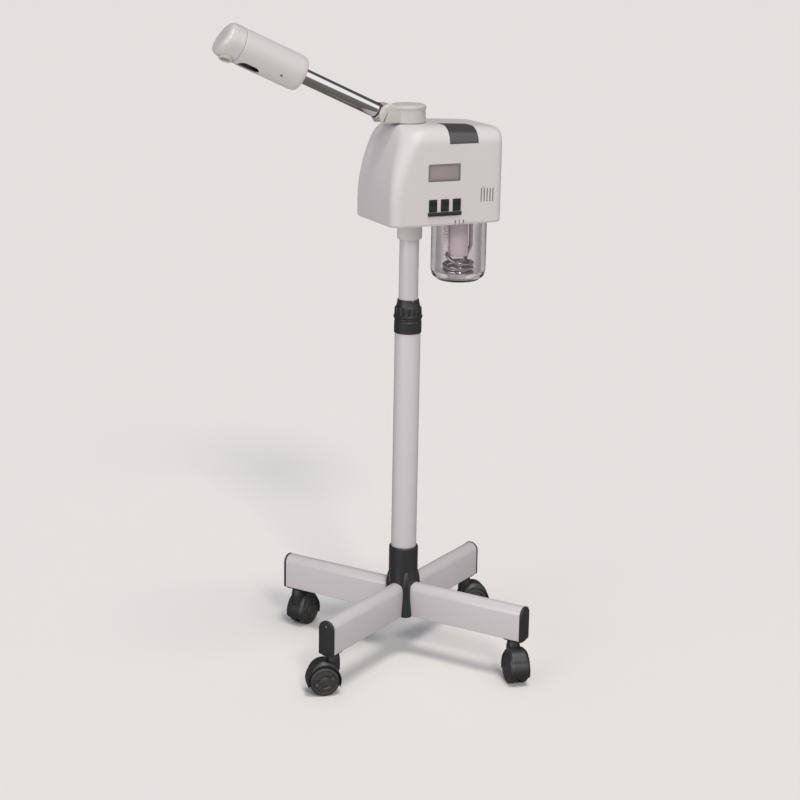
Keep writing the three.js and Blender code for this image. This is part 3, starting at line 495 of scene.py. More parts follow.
def case_body(inset, bottom, corner_steps=12, run_steps=12):
    """Rings of a rounded rectangle at rising z. The left side comes in by lean squared and its
    corners open up by lean to the 1.5. Then z falls by the slope times how far x is past
    SLOPE_FROM, fading out down the walls to FALL_FROM."""
    top = CASE_TOP - inset
    crown = top - FRONT_ROUND + FRONT_ROUND * np.sin(np.radians(np.linspace(0, 90, 13)))
    wall = np.linspace(LEAN_FROM, crown[0], 15)[:-1]
    z = np.concatenate([[bottom, bottom + 1, bottom + 3], wall, crown])
    lean = np.maximum(z - LEAN_FROM, 0) / (CASE_TOP - LEAN_FROM)
    tuck = np.maximum(3 - (z - CASE_BOTTOM), 0) * 0.6
    left = CASE_LEFT + CASE_LEAN * lean**2 + round_in(z, SIDE_ROUND, top) + inset + tuck
    right = CASE_RIGHT - round_in(z, SIDE_ROUND, top) - inset - tuck
    front = CASE_FRONT + round_in(z, FRONT_ROUND, top) + inset + tuck
    back = CASE_BACK - round_in(z, BACK_ROUND, top) - inset - tuck
    corner_left, corner_right = 14 + 18 * lean**1.5 - inset, np.full_like(z, 13 - inset)

    def corner(cx, cy, radius, start):
        a = np.radians(np.linspace(start, start + 90, corner_steps + 1))
        return np.stack([cx[:, None] + np.outer(radius, np.cos(a)),
                         cy[:, None] + np.outer(radius, np.sin(a))], -1)

    corners = [
        corner(right - corner_right, back - corner_right, corner_right, 0),
        corner(left + corner_left, back - corner_left, corner_left, 90),
        corner(left + corner_left, front + corner_left, corner_left, 180),
        corner(right - corner_right, front + corner_right, corner_right, 270),
    ]
    t = np.linspace(0, 1, run_steps + 2)[None, 1:-1, None]
    back_run = corners[0][:, -1:] * (1 - t) + corners[1][:, :1] * t
    front_run = corners[2][:, -1:] * (1 - t) + corners[3][:, :1] * t
    ring = np.concatenate([corners[0], back_run, corners[1], corners[2], front_run, corners[3]], 1)
    # Across the top, the last ring closes on the line halfway between its front and its back.
    mirror = ring[:, ::-1]
    share = np.linspace(0, 0.5, 7)[1:, None, None]
    lid_rows = ring[-1] * (1 - share) + mirror[-1] * share
    floor_rows = (ring[0] * (1 - share) + mirror[0] * share)[::-1]
    plan = np.concatenate([floor_rows, ring, lid_rows])
    height = np.concatenate([np.full(6, z[0]), z, np.full(6, z[-1])])[:, None] * np.ones(plan.shape[1])
    fade = np.clip((height - FALL_FROM) / (CASE_TOP - FALL_FROM), 0, 1)
    fall = TOP_SLOPE * np.maximum(plan[..., 0] - SLOPE_FROM, 0) * fade
    return loft(np.concatenate([plan, (height - fall)[..., None]], -1))


def shaped(part, *tools, keep="DIFFERENCE"):
    """The part less each tool, or only what it shares with them, as (points, faces)."""
    temporary = []

    def placed(shape):
        made = bpy.data.objects.new("shape", clean_mesh("shape", shape))
        bpy.context.scene.collection.objects.link(made)
        temporary.append(made)
        return made

    base = placed(part)
    for tool in tools:
        step = base.modifiers.new("step", "BOOLEAN")
        step.operation, step.solver, step.object = keep, "EXACT", placed(tool)
    bpy.context.view_layer.update()
    result = base.evaluated_get(bpy.context.evaluated_depsgraph_get()).to_mesh()
    points = np.zeros(len(result.vertices) * 3)
    result.vertices.foreach_get("co", points)
    faces = [list(face.vertices) for face in result.polygons]
    points = (points.reshape(-1, 3) - COLUMN) / MM
    for made in temporary:
        mesh = made.data
        bpy.data.objects.remove(made)
        bpy.data.meshes.remove(mesh)
    return points, faces


def plate(xs, zs, ys, corner, ease=0.0):
    """An upright rounded plate between two values of x, z and y."""
    outline = rounded_rect(xs[1] - xs[0], zs[1] - zs[0], corner) + [sum(xs) / 2, sum(zs) / 2]
    return upright(prism(outline, ys[0], ys[1], ease, 4 if ease else 1))


def plate_at(x, z, half_x, half_z, ys, corner, ease=0.0):
    return plate((x - half_x, x + half_x), (z - half_z, z + half_z), ys, corner, ease)


def within(span, margin):
    """A pair of values with a margin taken off each end."""
    return span[0] + margin, span[1] - margin


def block(low, high):
    """A plain rectangular tool for cutting, from corner to corner."""
    outline = rounded_rect(high[0] - low[0], high[1] - low[1], 0.01, 1)
    outline = outline + [(low[0] + high[0]) / 2, (low[1] + high[1]) / 2]
    return prism(outline, low[2], high[2], 0.0, 1)


white_plastic = finished(
    "white moulded plastic", "white_plastic", (0.60, 0.57, 0.568), (0.50, 0.465, 0.45), drift=0.12,
    specks=0.12, grain=2200.0, ripple_scale=30.0, ripple=0.6, roughness=0.44, spread=0.12,
    coat_weight=0.05, coat_roughness=0.4)

LID_X, LID_FRONT_Z, LID_BACK_Y = (31.0, 77.0), 786.0, -18.0
DISPLAY_X, DISPLAY_Z = (-2.0, 49.0), (733.5, 758.5)
SWITCH_X, SWITCH_Z, SWITCH_SIZE = (6.0, 24.9, 43.8), 699.4, (12.2, 16.8)
VENT_X, VENT_Z, VENT_PITCH, VENT_COUNT, VENT_WIDTH = 83.5, 711.0, 4.7, 5, 1.7
REAR_X, REAR_Z, REAR_CORNER = (-22.0, 104.0), (684.0, 776.0), 9.0
TURRET_X = -6.0
front, back = CASE_FRONT, CASE_BACK
shell = shaped(case_body(0, CASE_BOTTOM), case_body(CASE_WALL, CASE_BOTTOM - 1))


def front_hole(x, z, width, height, corner):
    return plate_at(x, z, width / 2, height / 2, (front - 5, front + CASE_WALL + 4), corner)


def lid_window(margin):
    return block((LID_X[0] + margin, front - 5, LID_FRONT_Z + margin),
                 (LID_X[1] - margin, LID_BACK_Y - margin, CASE_TOP + 10))


holes = [
    lid_window(0),
    plate(REAR_X, REAR_Z, (back - 10, back + 5), REAR_CORNER),
    moved(lathe([[0, 803], [11, 803], [11, 820], [0, 820]], 32), (TURRET_X, 0, 0)),
    plate(DISPLAY_X, DISPLAY_Z, (front - 5, front + 6), 1.5),
]
holes += [front_hole(x, SWITCH_Z, *SWITCH_SIZE, 1.0) for x in SWITCH_X]
holes += [front_hole(x, CASE_BOTTOM + 3, 2.0, 8, 0.9) for x in (42.5, 49.0, 55.5)]
holes += [front_hole(VENT_X + VENT_PITCH * i, VENT_Z, VENT_WIDTH, 20, 0.8)
          for i in range(VENT_COUNT)]
piece("case_cover_shell", shaped(shell, *holes), white_plastic, "case", ["case_cover"], sharp=28)

# ---- rear panel and power inlet ------------------------------
# A flat white panel with cooling slots, held by four screws, and a black mains inlet with three
# pins. No lead is fitted.
INLET_X, INLET_Z, AIR_SLOT_Z, AIR_SLOT_PITCH = 70.0, 706.0, 716.0, 6.0
panel = plate(within(REAR_X, 0.3), within(REAR_Z, 0.3), (back - 3.6, back - 0.6), REAR_CORNER,
              0.5)
air_slots = [plate_at(6, AIR_SLOT_Z + AIR_SLOT_PITCH * i, 18, 1.2, (50, 80), 1.1) for i in range(8)]
inlet_hole = plate_at(INLET_X, INLET_Z, 13.5, 10, (50, 80), 2)
piece("rear_panel_plate", shaped(panel, inlet_hole, *air_slots), white_plastic, "case", ["rear_panel"],
      sharp=28)
inlet_body = plate_at(INLET_X, INLET_Z, 13.2, 9.7, (back - 22, back + 0.4), 2, 0.3)
flange = plate_at(INLET_X, INLET_Z, 16.5, 13, (back - 0.4, back + 2), 2, 0.6)
pocket = plate_at(INLET_X, INLET_Z, 11.4, 7.9, (back - 18, 80), 3)
pins = [plate_at(INLET_X + dx, INLET_Z + dz, 1, 2, (back - 19, back - 5), 0.6, 0.4)
        for dx, dz in ((-7, -2), (0, 2), (7, -2))]
piece("power_inlet_body", joined(shaped(inlet_body, pocket), shaped(flange, pocket)), black_plastic,
      "case", ["power_inlet"], sharp=28)
piece("power_inlet_pins", joined(*pins), bright_steel, "case")


def screw(radius=3.2):
    """A low domed head with a cross recess, facing +Y: the recess is a cut in the lathed dome."""
    head = lathe(eased([[0, 0], [radius, 0], [radius, 0.6], [radius * 0.7, 1.3], [0, 1.6]], 0.5), 32)
    cross = [block((-2.0, -0.4, 0.8), (2.0, 0.4, 3)), block((-0.4, -2.0, 0.8), (0.4, 2.0, 3))]
    return upright(shaped(head, *cross))


one_screw = screw()
panel_screws = [moved(one_screw, (x, back - 0.7, z))
                for x in within(REAR_X, 8) for z in within(REAR_Z, 8)]
piece("rear_panel_screws", joined(*panel_screws), bright_steel, "case")

# ---- inside and underside ------------------------------------
# The bottom plate, the column's collar, the boiler head above the jar, the cold tank under the
# lid, the control board and the steam pipe: white and translucent mouldings and bright metal.
silicone = finished(
    "silicone", "silicone", (0.52, 0.50, 0.47), (0.42, 0.38, 0.33), drift=0.3, specks=0.1, grain=900.0,
    roughness=0.5, bump=0.08)
circuit_board = finished(
    "green circuit board", None, (0.03, 0.12, 0.06), (0.35, 0.28, 0.12), drift=0.3, specks=0.9,
    grain=600.0, spread=0.2, bump=0.3)
COLLAR_R = 18.3
collar_profile = eased([
    [14.6, 642], [COLLAR_R - 1.6, 642], [COLLAR_R, 644.5], [COLLAR_R, 674.6], [29, 674.6],
    [29, 679.6], [COLLAR_R, 680.6], [COLLAR_R, 695], [0, 695], [0, 690.4], [14.6, 690.4], [14.6, 642]
], 0.8)
piece("column_collar", lathe(collar_profile, 96), white_plastic, "case", ["column_socket"])
for node, look in (("bottom_plate", white_plastic), ("cold_tank", white_plastic),
                   ("boiler_head", bright_steel),
                   ("jar_seal", silicone), ("steam_pipe", silicone), ("control_board", circuit_board)):
    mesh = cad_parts[node].data
    mesh.materials.clear()
    mesh.materials.append(look)

# ---- tank lid ------------------------------------------------
# A dark smoked moulding that carries on the case's own surface over its front edge, hinged at
# the back of the opening.
smoked = finished(
    "smoked plastic", "smoked_plastic", (0.050, 0.046, 0.048), (0.09, 0.085, 0.085), drift=0.3,
    specks=0.15, grain=1600.0, ripple=0.5, roughness=0.20, bump=0.05, coat_weight=0.4,
    coat_roughness=0.08)
piece("tank_lid_shell", shaped(shell, lid_window(0.4), keep="INTERSECT"), smoked, "tank_lid",
      ["tank_lid"], sharp=28)

# ---- display -------------------------------------------------
# A grey liquid-crystal panel behind a clear window, set back in a darker moulded frame.
lcd = finished(
    "display window", "lcd", (0.27, 0.225, 0.225), (0.33, 0.315, 0.31), drift=0.8, specks=0.1,
    grain=3000.0, roughness=0.2, spread=0.05, bump=0.02, coat_weight=0.6, coat_roughness=0.05)
display_frame = finished(
    "display frame", "lcd", (0.16, 0.15, 0.15), (0.25, 0.24, 0.24), drift=0.3, specks=0.1, grain=2000.0)
dx, dz = within(DISPLAY_X, 0.3), within(DISPLAY_Z, 0.3)
bezel = plate(dx, dz, (front + 0.1, front + 4), 1.4, 0.4)
opening = plate(within(dx, 2.2), within(dz, 2.2), (front - 2, front + 3), 0.8)
piece("display_frame", shaped(bezel, opening), display_frame, "case", sharp=28)
pane = plate(within(dx, 2.1), within(dz, 2.1), (front + 1.1, front + 3.4), 0.8, 0.2)
piece("display_pane", pane, lcd, "case", ["display_window"])

# ---- rocker switches -----------------------------------------
# Three black rockers, each in a thin frame snapped into the case, over a dark ribbed strip.
ROCK = 7.0


def rocker():
    """The side view (y, z) is a shallow V with rounded ends, carried across the switch's width."""
    half = SWITCH_SIZE[1] / 2 - 0.7
    spread = half * math.tan(math.radians(ROCK))
    side = eased([
        [5, 0], [5, 1.5 - half], [-2 - spread, -half], [-2, 0], [-2 - spread, half], [5, half - 1.5],
        [5, 0]
    ], 0.9)[:-1]
    width = SWITCH_SIZE[0] - 0.8
    return turned(along_x(prism(side[::-1], -width / 2, width / 2, 0.6)), ROCK, "x")


for i, x in enumerate(SWITCH_X, 1):
    place = (x, front + 1.5, SWITCH_Z)
    piece(f"switch_{i}_rocker", moved(rocker(), place), black_plastic, f"switch_{i}", [f"switch_{i}"])
    outer = plate_at(x, SWITCH_Z, 6.5, 8.8, (front - 0.9, front - 0.1), 1.0, 0.3)
    inner = plate_at(x, SWITCH_Z, 5.95, 8.25, (front - 4, front + 3), 0.8)
    piece(f"switch_{i}_frame", shaped(outer, inner), black_plastic, "case", sharp=28)

STRIP_X, STRIP_Z = (-2.0, 51.0), (684.5, 690.0)
strip = [plate(STRIP_X, STRIP_Z, (front - 2.6, front - 0.3), 1.0, 0.5)]
strip += [plate_at(x, sum(STRIP_Z) / 2, 0.9, 2.15, (front - 3.2, front - 2), 0.6, 0.4)
          for x in np.linspace(*within(STRIP_X, 4), 10)]
piece("switch_strip_bar", joined(*strip), black_plastic, "case", ["switch_strip"])

# ---- jar and heater ------------------------------------------
# A thick smoke-grey glass jar with a chamfered foot and an open mouth. In it hangs the heater:
# a bright tube that comes down one side, winds two and a half turns and goes up the other.
JAR_X, JAR_Y, JAR_R, JAR_WALL, JAR_TOP, JAR_BOTTOM = 73.5, -14.0, 40.5, 6.5, 681.0, 580.0


def smoked_glass():
    """Clear grey glass that darkens where it is seen edge-on, with fine streaks of roughness and a
    slow ripple in its surface."""
    look = bpy.data.materials.new("smoke-grey glass")
    look.use_nodes = True
    tree = look.node_tree
    facing = fed(tree, "LayerWeight", {"Blend": 0.5}).outputs["Facing"]
    band = fed(tree, "MapRange", {"Value": facing, "From Min": 0.22, "From Max": 0.38})
    band.interpolation_type = "SMOOTHSTEP"
    tint = mixed(tree, band.outputs["Result"], (0.80, 0.765, 0.785, 1), (0.40, 0.385, 0.40, 1))
    place = tree.nodes.new("ShaderNodeTexCoord").outputs["Object"]
    stretch = fed(tree, "Mapping", {"Vector": place, "Scale": (1, 1, 0.25)}).outputs["Vector"]
    streaks = fed(tree, "TexNoise", {"Vector": stretch, "Scale": 55.0}).outputs["Fac"]
    spread = fed(tree, "MapRange", {"Value": streaks, "To Min": 0.01, "To Max": 0.07})
    height = fed(tree, "Bump", {"Strength": 0.1, "Distance": 0.3 * MM, "Height": streaks})
    glass = fed(tree, tree.nodes["Principled BSDF"], {
        "Base Color": tint, "Roughness": spread.outputs["Result"], "Normal": height.outputs["Normal"],
        "Transmission Weight": 1.0, "IOR": 1.46})
    # Light from lamps and from the room passes straight through, so that what is inside is lit.
    paths = tree.nodes.new("ShaderNodeLightPath").outputs
    passing = calc(tree, "MAXIMUM", paths["Is Shadow Ray"], paths["Is Diffuse Ray"])
    clear = fed(tree, "BsdfTransparent", {"Color": (0.95, 0.93, 0.94, 1)})
    chosen = fed(tree, "MixShader", {"Fac": passing, 1: glass.outputs["BSDF"], 2: clear.outputs["BSDF"]})
    fed(tree, tree.nodes["Material Output"], {"Surface": chosen.outputs["Shader"]})
    return look


jar_outside = eased([
    [0, JAR_BOTTOM + 1.5], [JAR_R - 16, JAR_BOTTOM], [JAR_R - 11, JAR_BOTTOM],
    [JAR_R - 2.6, JAR_BOTTOM + 6.5], [JAR_R, JAR_BOTTOM + 15], [JAR_R, JAR_TOP]
], 2.2)
jar_bore = JAR_R - JAR_WALL
jar_inside = eased([
    [JAR_R, JAR_TOP], [jar_bore, JAR_TOP], [jar_bore, JAR_BOTTOM + 14],
    [jar_bore - 6, JAR_BOTTOM + 6.5], [0, JAR_BOTTOM + 6]
], 1.2)
jar_glass = smoked_glass()
jar_part = moved(lathe(np.concatenate([jar_outside, jar_inside[1:]]), 128), (JAR_X, JAR_Y, 0))
piece("jar_wall", jar_part, jar_glass, "jar", ["jar"])


def tube_along(path, radius, sides=20):
    """A round bar: rings of radius about each path point, in the plane of the radial direction
    from the vertical axis, made square to the path, and its cross product with the path."""
    tangent = np.gradient(path, axis=0)
    tangent /= np.linalg.norm(tangent, axis=1, keepdims=True)
    radial = path * [1, 1, 0] + [1e-6, 0, 0]
    radial -= tangent * np.einsum("ij,ij->i", radial, tangent)[:, None]
    radial /= np.linalg.norm(radial, axis=1, keepdims=True)
    side = np.cross(tangent, radial)
    a = np.linspace(0, 2 * np.pi, sides, endpoint=False)
    radius = np.broadcast_to(radius, len(path))[:, None, None]
    outward = (radial[:, None] * np.cos(a)[None, :, None]
               + side[:, None] * np.sin(a)[None, :, None])
    rings = path[:, None] + radius * outward
    ends = [np.tile(path[i], (sides, 1))[None] for i in (0, -1)]
    return loft(np.concatenate([ends[0], rings, ends[1]]))


COIL_R, COIL_WIRE, COIL_TURNS, COIL_BOTTOM, COIL_TOP = 20.5, 3.0, 2.5, 590.5, 608.0
plated_steel = finished(
    "plated heater tube", "steel", (0.50, 0.46, 0.47), (0.20, 0.17, 0.17), drift=0.3, specks=0.2,
    grain=700.0, roughness=0.13, spread=0.2, bump=0.03, metallic=1.0)


def heater():
    """Down at angle 180 degrees, round by COIL_TURNS while sinking, and up at angle 0."""
    down = np.stack([np.full(30, np.pi), np.linspace(700, COIL_TOP + 14, 30)], 1)
    t = np.linspace(0, 1, 240)
    turn = 2 * np.pi * COIL_TURNS
    sink = COIL_TOP + 14 * (1 - np.clip(t * 12, 0, 1)) ** 2 - (COIL_TOP - COIL_BOTTOM) * t
    round_part = np.stack([np.pi + turn * t, sink], 1)
    wound = np.concatenate([down, round_part])
    path = np.stack([COIL_R * np.cos(wound[:, 0]), COIL_R * np.sin(wound[:, 0]), wound[:, 1]], 1)
    u = np.linspace(0, 1, 60)[1:, None]
    last = path[-1]
    corners = [last, last * [0.5, 0.5, 1] + [0, 4, 0], np.array([COIL_R * 0.5, 4, COIL_TOP + 2]),
               np.array([COIL_R, 0, 628])]
    shares = [(1 - u) ** 3, 3 * u * (1 - u) ** 2, 3 * u**2 * (1 - u), u**3]
    rise = sum(share * corner for share, corner in zip(shares, corners))
    up = np.array([COIL_R, 0, 0]) + np.stack([np.zeros(12), np.zeros(12), np.linspace(631, 700, 12)], 1)
    return np.concatenate([path, rise, up])


coil = tube_along(heater(), COIL_WIRE)
piece("heater_coil", moved(coil, (JAR_X, JAR_Y, 0)), plated_steel, "case", ["heating_coil"])
GUARD_BOTTOM, RIB_RATE = 616.0, 1.4
riser_z = np.linspace(GUARD_BOTTOM, 680, 340)
riser = np.stack([np.full(340, -COIL_R), np.zeros(340), riser_z], 1)
wave = np.sin(riser_z * RIB_RATE)
ribbed = tube_along(riser, 4.0 + 0.6 * np.sign(wave) * np.abs(wave) ** 0.5)
porcelain = finished(
    "white porcelain", "white_plastic", (0.88, 0.87, 0.86), (0.70, 0.68, 0.66), drift=0.3, specks=0.2,
    grain=800.0, roughness=0.2, bump=0.05, coat_weight=0.5, coat_roughness=0.08)
piece("heater_riser_sleeve", moved(ribbed, (JAR_X, JAR_Y, 0)), porcelain, "case")
guard = lathe(eased([
    [0, GUARD_BOTTOM], [14.6, GUARD_BOTTOM], [14.6, 668], [16, 670], [16, 679], [0, 679]
], 1.2), 64)
heater_guard = finished(
    "grey guard", "steel", (0.70, 0.63, 0.645), (0.60, 0.54, 0.55), drift=0.4, grain=900.0,
    roughness=0.35, spread=0.15)
piece("water_level_guard", moved(guard, (JAR_X - 1, JAR_Y, 0)), heater_guard, "case")

# ---- turret and knuckle --------------------------------------
# A white drum that turns on the case's top. Two rounded cheeks on its left hold the ball that
# carries the arm.
TURRET_R, TURRET_BOTTOM, TURRET_TOP = 26.0, 812.1, 839.0
turret_plastic = finished(
    "grey-white turret plastic", "white_plastic", (0.515, 0.495, 0.475), (0.43, 0.405, 0.38), drift=0.2,
    specks=0.14, grain=1900.0, ripple_scale=40.0, ripple=0.5, roughness=0.42, spread=0.14)
BALL_X, BALL_Z, BALL_R, KNUCKLE_R = -41.0, 823.6, 11.3, 16.5
drum_profile = eased([
    [0, TURRET_BOTTOM], [TURRET_R, TURRET_BOTTOM], [TURRET_R - 0.2, TURRET_BOTTOM + 3],
    [TURRET_R - 1.0, TURRET_TOP - 8.5], [TURRET_R, TURRET_TOP - 7], [TURRET_R, TURRET_TOP - 3.4],
    [TURRET_R - 2.4, TURRET_TOP - 2], [TURRET_R - 3.6, TURRET_TOP - 1.3], [12, TURRET_TOP - 0.3],
    [0, TURRET_TOP]
], 1.3)
drum = moved(lathe(drum_profile, 96), (TURRET_X, 0, 0))
lug_low = math.degrees(math.asin((TURRET_BOTTOM - BALL_Z) / KNUCKLE_R))
lug_outline = np.concatenate([ [[TURRET_X, TURRET_BOTTOM], [TURRET_X, BALL_Z + 12]], eased([
    [TURRET_X, BALL_Z + 12], [BALL_X + 15, BALL_Z + 12], [BALL_X + 6, BALL_Z + 15.4]
], 4)[1:], arc(KNUCKLE_R, 70, 180 - lug_low, 30, (BALL_X, BALL_Z)), ])
lug = upright(prism(lug_outline, -KNUCKLE_R, KNUCKLE_R, 3.6, 7))
slot_tool = block((BALL_X - 40, -BALL_R - 0.6, 780), (BALL_X + BALL_R + 1, BALL_R + 0.6, 900))
pin_heads = [moved(upright(rod(4.4, -0.4, 0.4, 0.3, 40)),
                   (BALL_X, side * (KNUCKLE_R - 0.3), BALL_Z))
             for side in (-1, 1)]
piece("turret_drum", joined(drum, shaped(lug, slot_tool)), turret_plastic, "turret", ["turret"])
piece("knuckle_pin_heads", joined(*pin_heads), turret_plastic, "turret")

# ---- arm -----------------------------------------------------
# A polished chrome tube in a white ball, with a dark sealing ring where it enters the knuckle.
ARM_TILT, ARM_R = 24.5, 10.9
HEAD_START, HEAD_LENGTH, HEAD_R, HEAD_SEAM = 145.0, 131.0, 25.5, 101.0
ALONG = np.array([-math.cos(math.radians(ARM_TILT)), 0, math.sin(math.radians(ARM_TILT))])
UPWARD = np.array([math.sin(math.radians(ARM_TILT)), 0, math.cos(math.radians(ARM_TILT))])


def on_arm(part):
    """Local (x, y, z) goes to the ball's centre + x * UPWARD + y * Y + z * ALONG."""
    return part[0] @ np.array([UPWARD, [0, 1, 0], ALONG]) + [BALL_X, 0, BALL_Z], part[1]


chrome = finished(
    "polished chrome", "chrome", (0.80, 0.80, 0.81), (0.62, 0.61, 0.60), drift=0.3, specks=0.1,
    grain=260.0, roughness=0.06, spread=0.06, bump=0.012, metallic=1.0)
seal_rubber = finished(
    "dark seal", "black_plastic", (0.02, 0.02, 0.02), (0.06, 0.06, 0.055), drift=0.3, roughness=0.5,
    bump=0.15)
piece("arm_chrome_tube", on_arm(pipe(ARM_R, ARM_R - 1.2, 12.4, HEAD_START + 14, 0.3)), chrome, "arm",
      ["arm_tube"])
ball_profile = arc(BALL_R, -90, 90, 32)
ball = on_arm(lathe(ball_profile, 48))
stubs = moved(upright(rod(4, -15.5, 15.5, 0.5, 24)), (BALL_X, 0, BALL_Z))
piece("arm_ball_joint", joined(ball, stubs), turret_plastic, "arm", ["arm_ball"])
ring = on_arm(lathe(rounded_rect(1.0, 2.0, 0.45, 5) + [ARM_R + 0.3, 17.2], 64, True))
piece("arm_seal_ring", ring, seal_rubber, "arm")

# ---- head ----------------------------------------------------
# A white cylinder with a long slot on its underside over the ozone lamp, and a paler, slightly
# translucent end cap that is cut on a slant and carries the nozzle.
cap_plastic = finished(
    "translucent cap", "white_plastic", (0.60, 0.585, 0.575), (0.47, 0.45, 0.43), drift=0.35,
    specks=0.15, grain=1500.0, ripple=0.5, roughness=0.28, spread=0.12, bump=0.07, coat_weight=0.3,
    coat_roughness=0.15)
HEAD_ROLL, CAP_SLANT = 18.0, 13.0


def in_head(part):
    """A part made about the head's own axis, from its start, turned to the front with the head."""
    return on_arm(moved(turned(part, HEAD_ROLL), (0, 0, HEAD_START)))


SLOT_ALONG, SLOT_WIDTH = (62.0, 95.0), 20.0
NOZZLE_AT, NOZZLE_R = 113.5, 10.0
bore = ARM_R + 0.3
shell_profile = eased([
    [bore, 0], [HEAD_R - 5, 0], [HEAD_R - 1.2, 1.8], [HEAD_R, 8], [HEAD_R, HEAD_SEAM - 0.6],
    [HEAD_R - 0.6, HEAD_SEAM], [HEAD_R - 2.2, HEAD_SEAM], [HEAD_R - 2.2, 8], [bore, 8], [bore, 0]
], 2.4)
slot_length = SLOT_ALONG[1] - SLOT_ALONG[0]
slot_outline = rounded_rect(slot_length, SLOT_WIDTH, SLOT_WIDTH / 2 - 0.2, 12)
slot_tool = prism(slot_outline, -12, 12, 0.0, 1)
slot_tool = (slot_tool[0][:, [2, 1, 0]], [face[::-1] for face in slot_tool[1]])
slot_tool = in_head(moved(slot_tool, (-HEAD_R - 2, 0, sum(SLOT_ALONG) / 2)))
head_shell = shaped(in_head(lathe(shell_profile, 128)), slot_tool)
piece("head_tube", head_shell, white_plastic, "head", ["head_shell"], sharp=28)


def end_cap():
    """A lathe whose rounded end is sheared: z past the shoulder is scaled so that the end lies on
    a plane that rises from the upper side to the underside."""
    rim = HEAD_SEAM + 0.3
    profile = eased([
        [0, rim], [HEAD_R - 0.6, rim], [HEAD_R, HEAD_SEAM + 1], [HEAD_R, HEAD_LENGTH - 9],
        [HEAD_R - 1.6, HEAD_LENGTH - 2.5], [HEAD_R - 7, HEAD_LENGTH], [0, HEAD_LENGTH]
    ], 5, 9)
    points, faces = lathe(profile, 128)
    plane = HEAD_LENGTH - 3.2 - points[:, 0] * math.tan(math.radians(CAP_SLANT))
    share = np.clip((points[:, 2] - HEAD_SEAM - 6) / (HEAD_LENGTH - HEAD_SEAM - 6), 0, 1)
    points[:, 2] += share * np.minimum(plane - HEAD_LENGTH, 0)
    return points, faces


nozzle_hole = lathe([[0, 0], [NOZZLE_R + 0.3, 0], [NOZZLE_R + 0.3, 30], [0, 30]], 48)
nozzle_hole = moved(turned(nozzle_hole, -90, "y"), (-HEAD_R + 7, 0, NOZZLE_AT))
# Painted shade: a black sleeve inside the head, behind the slot, that stands in for the shade in the
# hollow head so that the slot reads dark.
shade_sleeve = pipe(HEAD_R - 6.5, HEAD_R - 7.3, 9, HEAD_SEAM - 10, 0.3)
piece("head_painted_shade_sleeve", in_head(shade_sleeve), black_plastic, "head", sharp=28)
mark_angle = math.degrees(math.atan2(-21.1, -14.3))
mark = turned(lathe(eased([[0, -1], [2.1, -1], [2.1, 0.25], [0, 0.35]], 0.2), 32), 90, "y")
mark = moved(turned(moved(mark, (HEAD_R, 0, 0)), mark_angle), (0, 0, HEAD_START + 34.3))
piece("head_screw", on_arm(mark), display_frame, "head")
cap = shaped(in_head(end_cap()), in_head(nozzle_hole))
piece("head_end_cap", cap, cap_plastic, "head", ["head_cap"], sharp=28)
nozzle = lathe(eased([
    [6.2, 0], [NOZZLE_R, 0], [NOZZLE_R, 8], [NOZZLE_R - 1, 9.4], [7.2, 9.4], [6.2, 8], [6.2, 0]
], 0.7), 64)
nozzle = moved(turned(nozzle, -90, "y"), (-HEAD_R + 7, 0, NOZZLE_AT))
piece("nozzle_tip", in_head(nozzle), silicone, "head", ["nozzle_ring"])
lamp = moved(rod(4, 60, 98, 1.5, 32), (-9, 0, 0))
piece("lamp_tube", in_head(lamp), jar_glass, "head", ["uv_lamp"])

# ---- floor, light and camera ---------------------------------
# A plain pale floor under a soft studio sky that is bright above and dim near the horizon.
FLOOR_R = 60.0
floor_mesh = bpy.data.meshes.new("floor")
floor_corners = [(x * FLOOR_R, y * FLOOR_R, 0) for x, y in ((-1, -1), (1, -1), (1, 1), (-1, 1))]
floor_mesh.from_pydata(floor_corners, [], [(0, 1, 2, 3)])


def mirrored(tree):
    """A mask that is 1 where a ray was mirrored and 0 where it is seen, scattered or refracted."""
    paths = tree.nodes.new("ShaderNodeLightPath").outputs
    mask = calc(tree, "SUBTRACT", paths["Is Glossy Ray"], paths["Is Transmission Ray"])
    mask.node.use_clamp = True
    return mask


floor_look = finished(
    "pale floor", None, (0.76, 0.735, 0.715), (0.745, 0.725, 0.71), drift=0.2, specks=0.0,
    roughness=0.9, bump=0.0)
tree = floor_look.node_tree
painted = tree.nodes["Principled BSDF"].inputs["Base Color"]
# Painted reflection: where a glossy surface mirrors the floor, the floor's colour is painted dark, so
# chrome and other glossy pieces show a dark room below them instead of the pale floor.
painted_dark_reflection = mixed(tree, mirrored(tree), painted.links[0].from_socket, (0.118, 0.108, 0.10, 1))
tree.links.new(painted_dark_reflection, painted)
floor_mesh.materials.append(floor_look)
floor = bpy.data.objects.new("floor", floor_mesh)
bpy.context.scene.collection.objects.link(floor)

sky = bpy.data.worlds.new("studio sky")
bpy.context.scene.world = sky
sky.use_nodes = True
tree = sky.node_tree
direction = tree.nodes.new("ShaderNodeTexCoord").outputs["Generated"]
across = fed(tree, "SeparateXYZ", {"Vector": direction}).outputs
ramp = fed(tree, "ValToRGB", {"Fac": across["Z"]})
for element, place, colour in zip(ramp.color_ramp.elements, (0.0, 0.8),
                                  ((0.50, 0.55, 0.63, 1), (0.88, 0.95, 1.04, 1))):
    element.position, element.color = place, colour
soft = fed(tree, tree.nodes["Background"], {"Color": ramp.outputs["Color"], "Strength": 0.41})
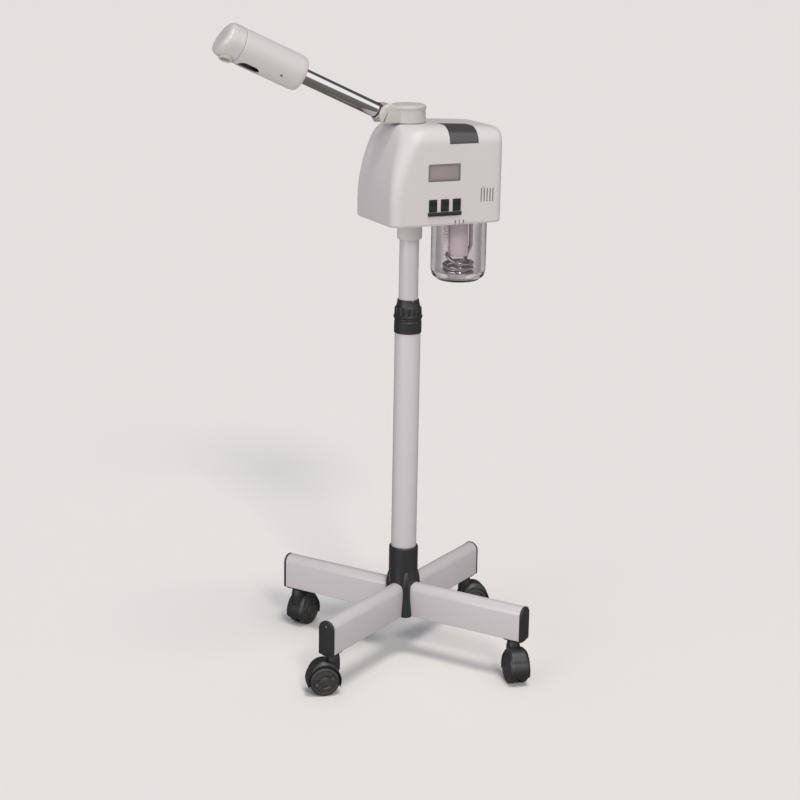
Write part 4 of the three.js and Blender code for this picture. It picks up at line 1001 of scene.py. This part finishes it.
# What glossy surfaces mirror is a dark room with one large soft light in front and above.
edges = [fed(tree, "MapRange", {"Value": across[axis], "From Min": start, "From Max": end}).outputs[0]
         for axis, start, end in (("Y", -0.14, -0.30), ("Z", -0.02, 0.08))]
level = fed(tree, "MapRange", {"Value": calc(tree, "MULTIPLY", *edges), "To Min": 0.115, "To Max": 1.3})
room = fed(tree, "Background", {"Strength": level.outputs[0]})
chosen = fed(tree, "MixShader", {0: mirrored(tree), 1: soft.outputs[0], 2: room.outputs[0]})
# The camera sees a plain pale backdrop beyond the floor's edge.
backdrop = fed(tree, "Background", {"Color": (0.80, 0.775, 0.765, 1)})
seen = tree.nodes.new("ShaderNodeLightPath").outputs["Is Camera Ray"]
final = fed(tree, "MixShader", {0: seen, 1: chosen.outputs[0], 2: backdrop.outputs[0]})
fed(tree, tree.nodes["World Output"], {"Surface": final.outputs[0]})

LAMPS = (("key", 1.01, 11, (1, 0.96, 0.915), (54, 0, -9)),
         ("top", 1.5, 20, (1, 0.965, 0.93), (15, 0, 0)),
         ("fill", 0.95, 40, (1, 0.965, 0.985), (80, 0, -66)))
for name, strength, spread, colour, turn in LAMPS:
    lamp_data = bpy.data.lights.new(name, "SUN")
    lamp_data.energy, lamp_data.angle, lamp_data.color = strength, math.radians(spread), colour
    lamp_object = bpy.data.objects.new(name, lamp_data)
    lamp_object.rotation_euler = [math.radians(v) for v in turn]
    bpy.context.scene.collection.objects.link(lamp_object)

camera_data = bpy.data.cameras.new("camera")
camera_data.lens, camera_data.sensor_width = 87.8, 36.0
camera = bpy.data.objects.new("camera", camera_data)
bpy.context.scene.collection.objects.link(camera)
bpy.context.scene.camera = camera
EYE = np.array([-1229.9, -2521.7, 1148.0])
LOOK = np.array([0.4206, 0.8698, -0.258])
ROLL = 1.04
look_z = -LOOK / np.linalg.norm(LOOK)
look_x = np.cross([0, 0, 1], look_z)
look_x /= np.linalg.norm(look_x)
look_y = np.cross(look_z, look_x)
roll = math.radians(ROLL)
axis_x = look_x * math.cos(roll) + look_y * math.sin(roll)
axis_y = -look_x * math.sin(roll) + look_y * math.cos(roll)
axes = np.column_stack([axis_x, axis_y, look_z, EYE * MM + COLUMN])
camera.matrix_world = Matrix([*axes.tolist(), [0, 0, 0, 1]])
camera_data.clip_end = 200.0
bpy.context.scene.view_settings.view_transform = "Standard"

bpy.context.view_layer.update()
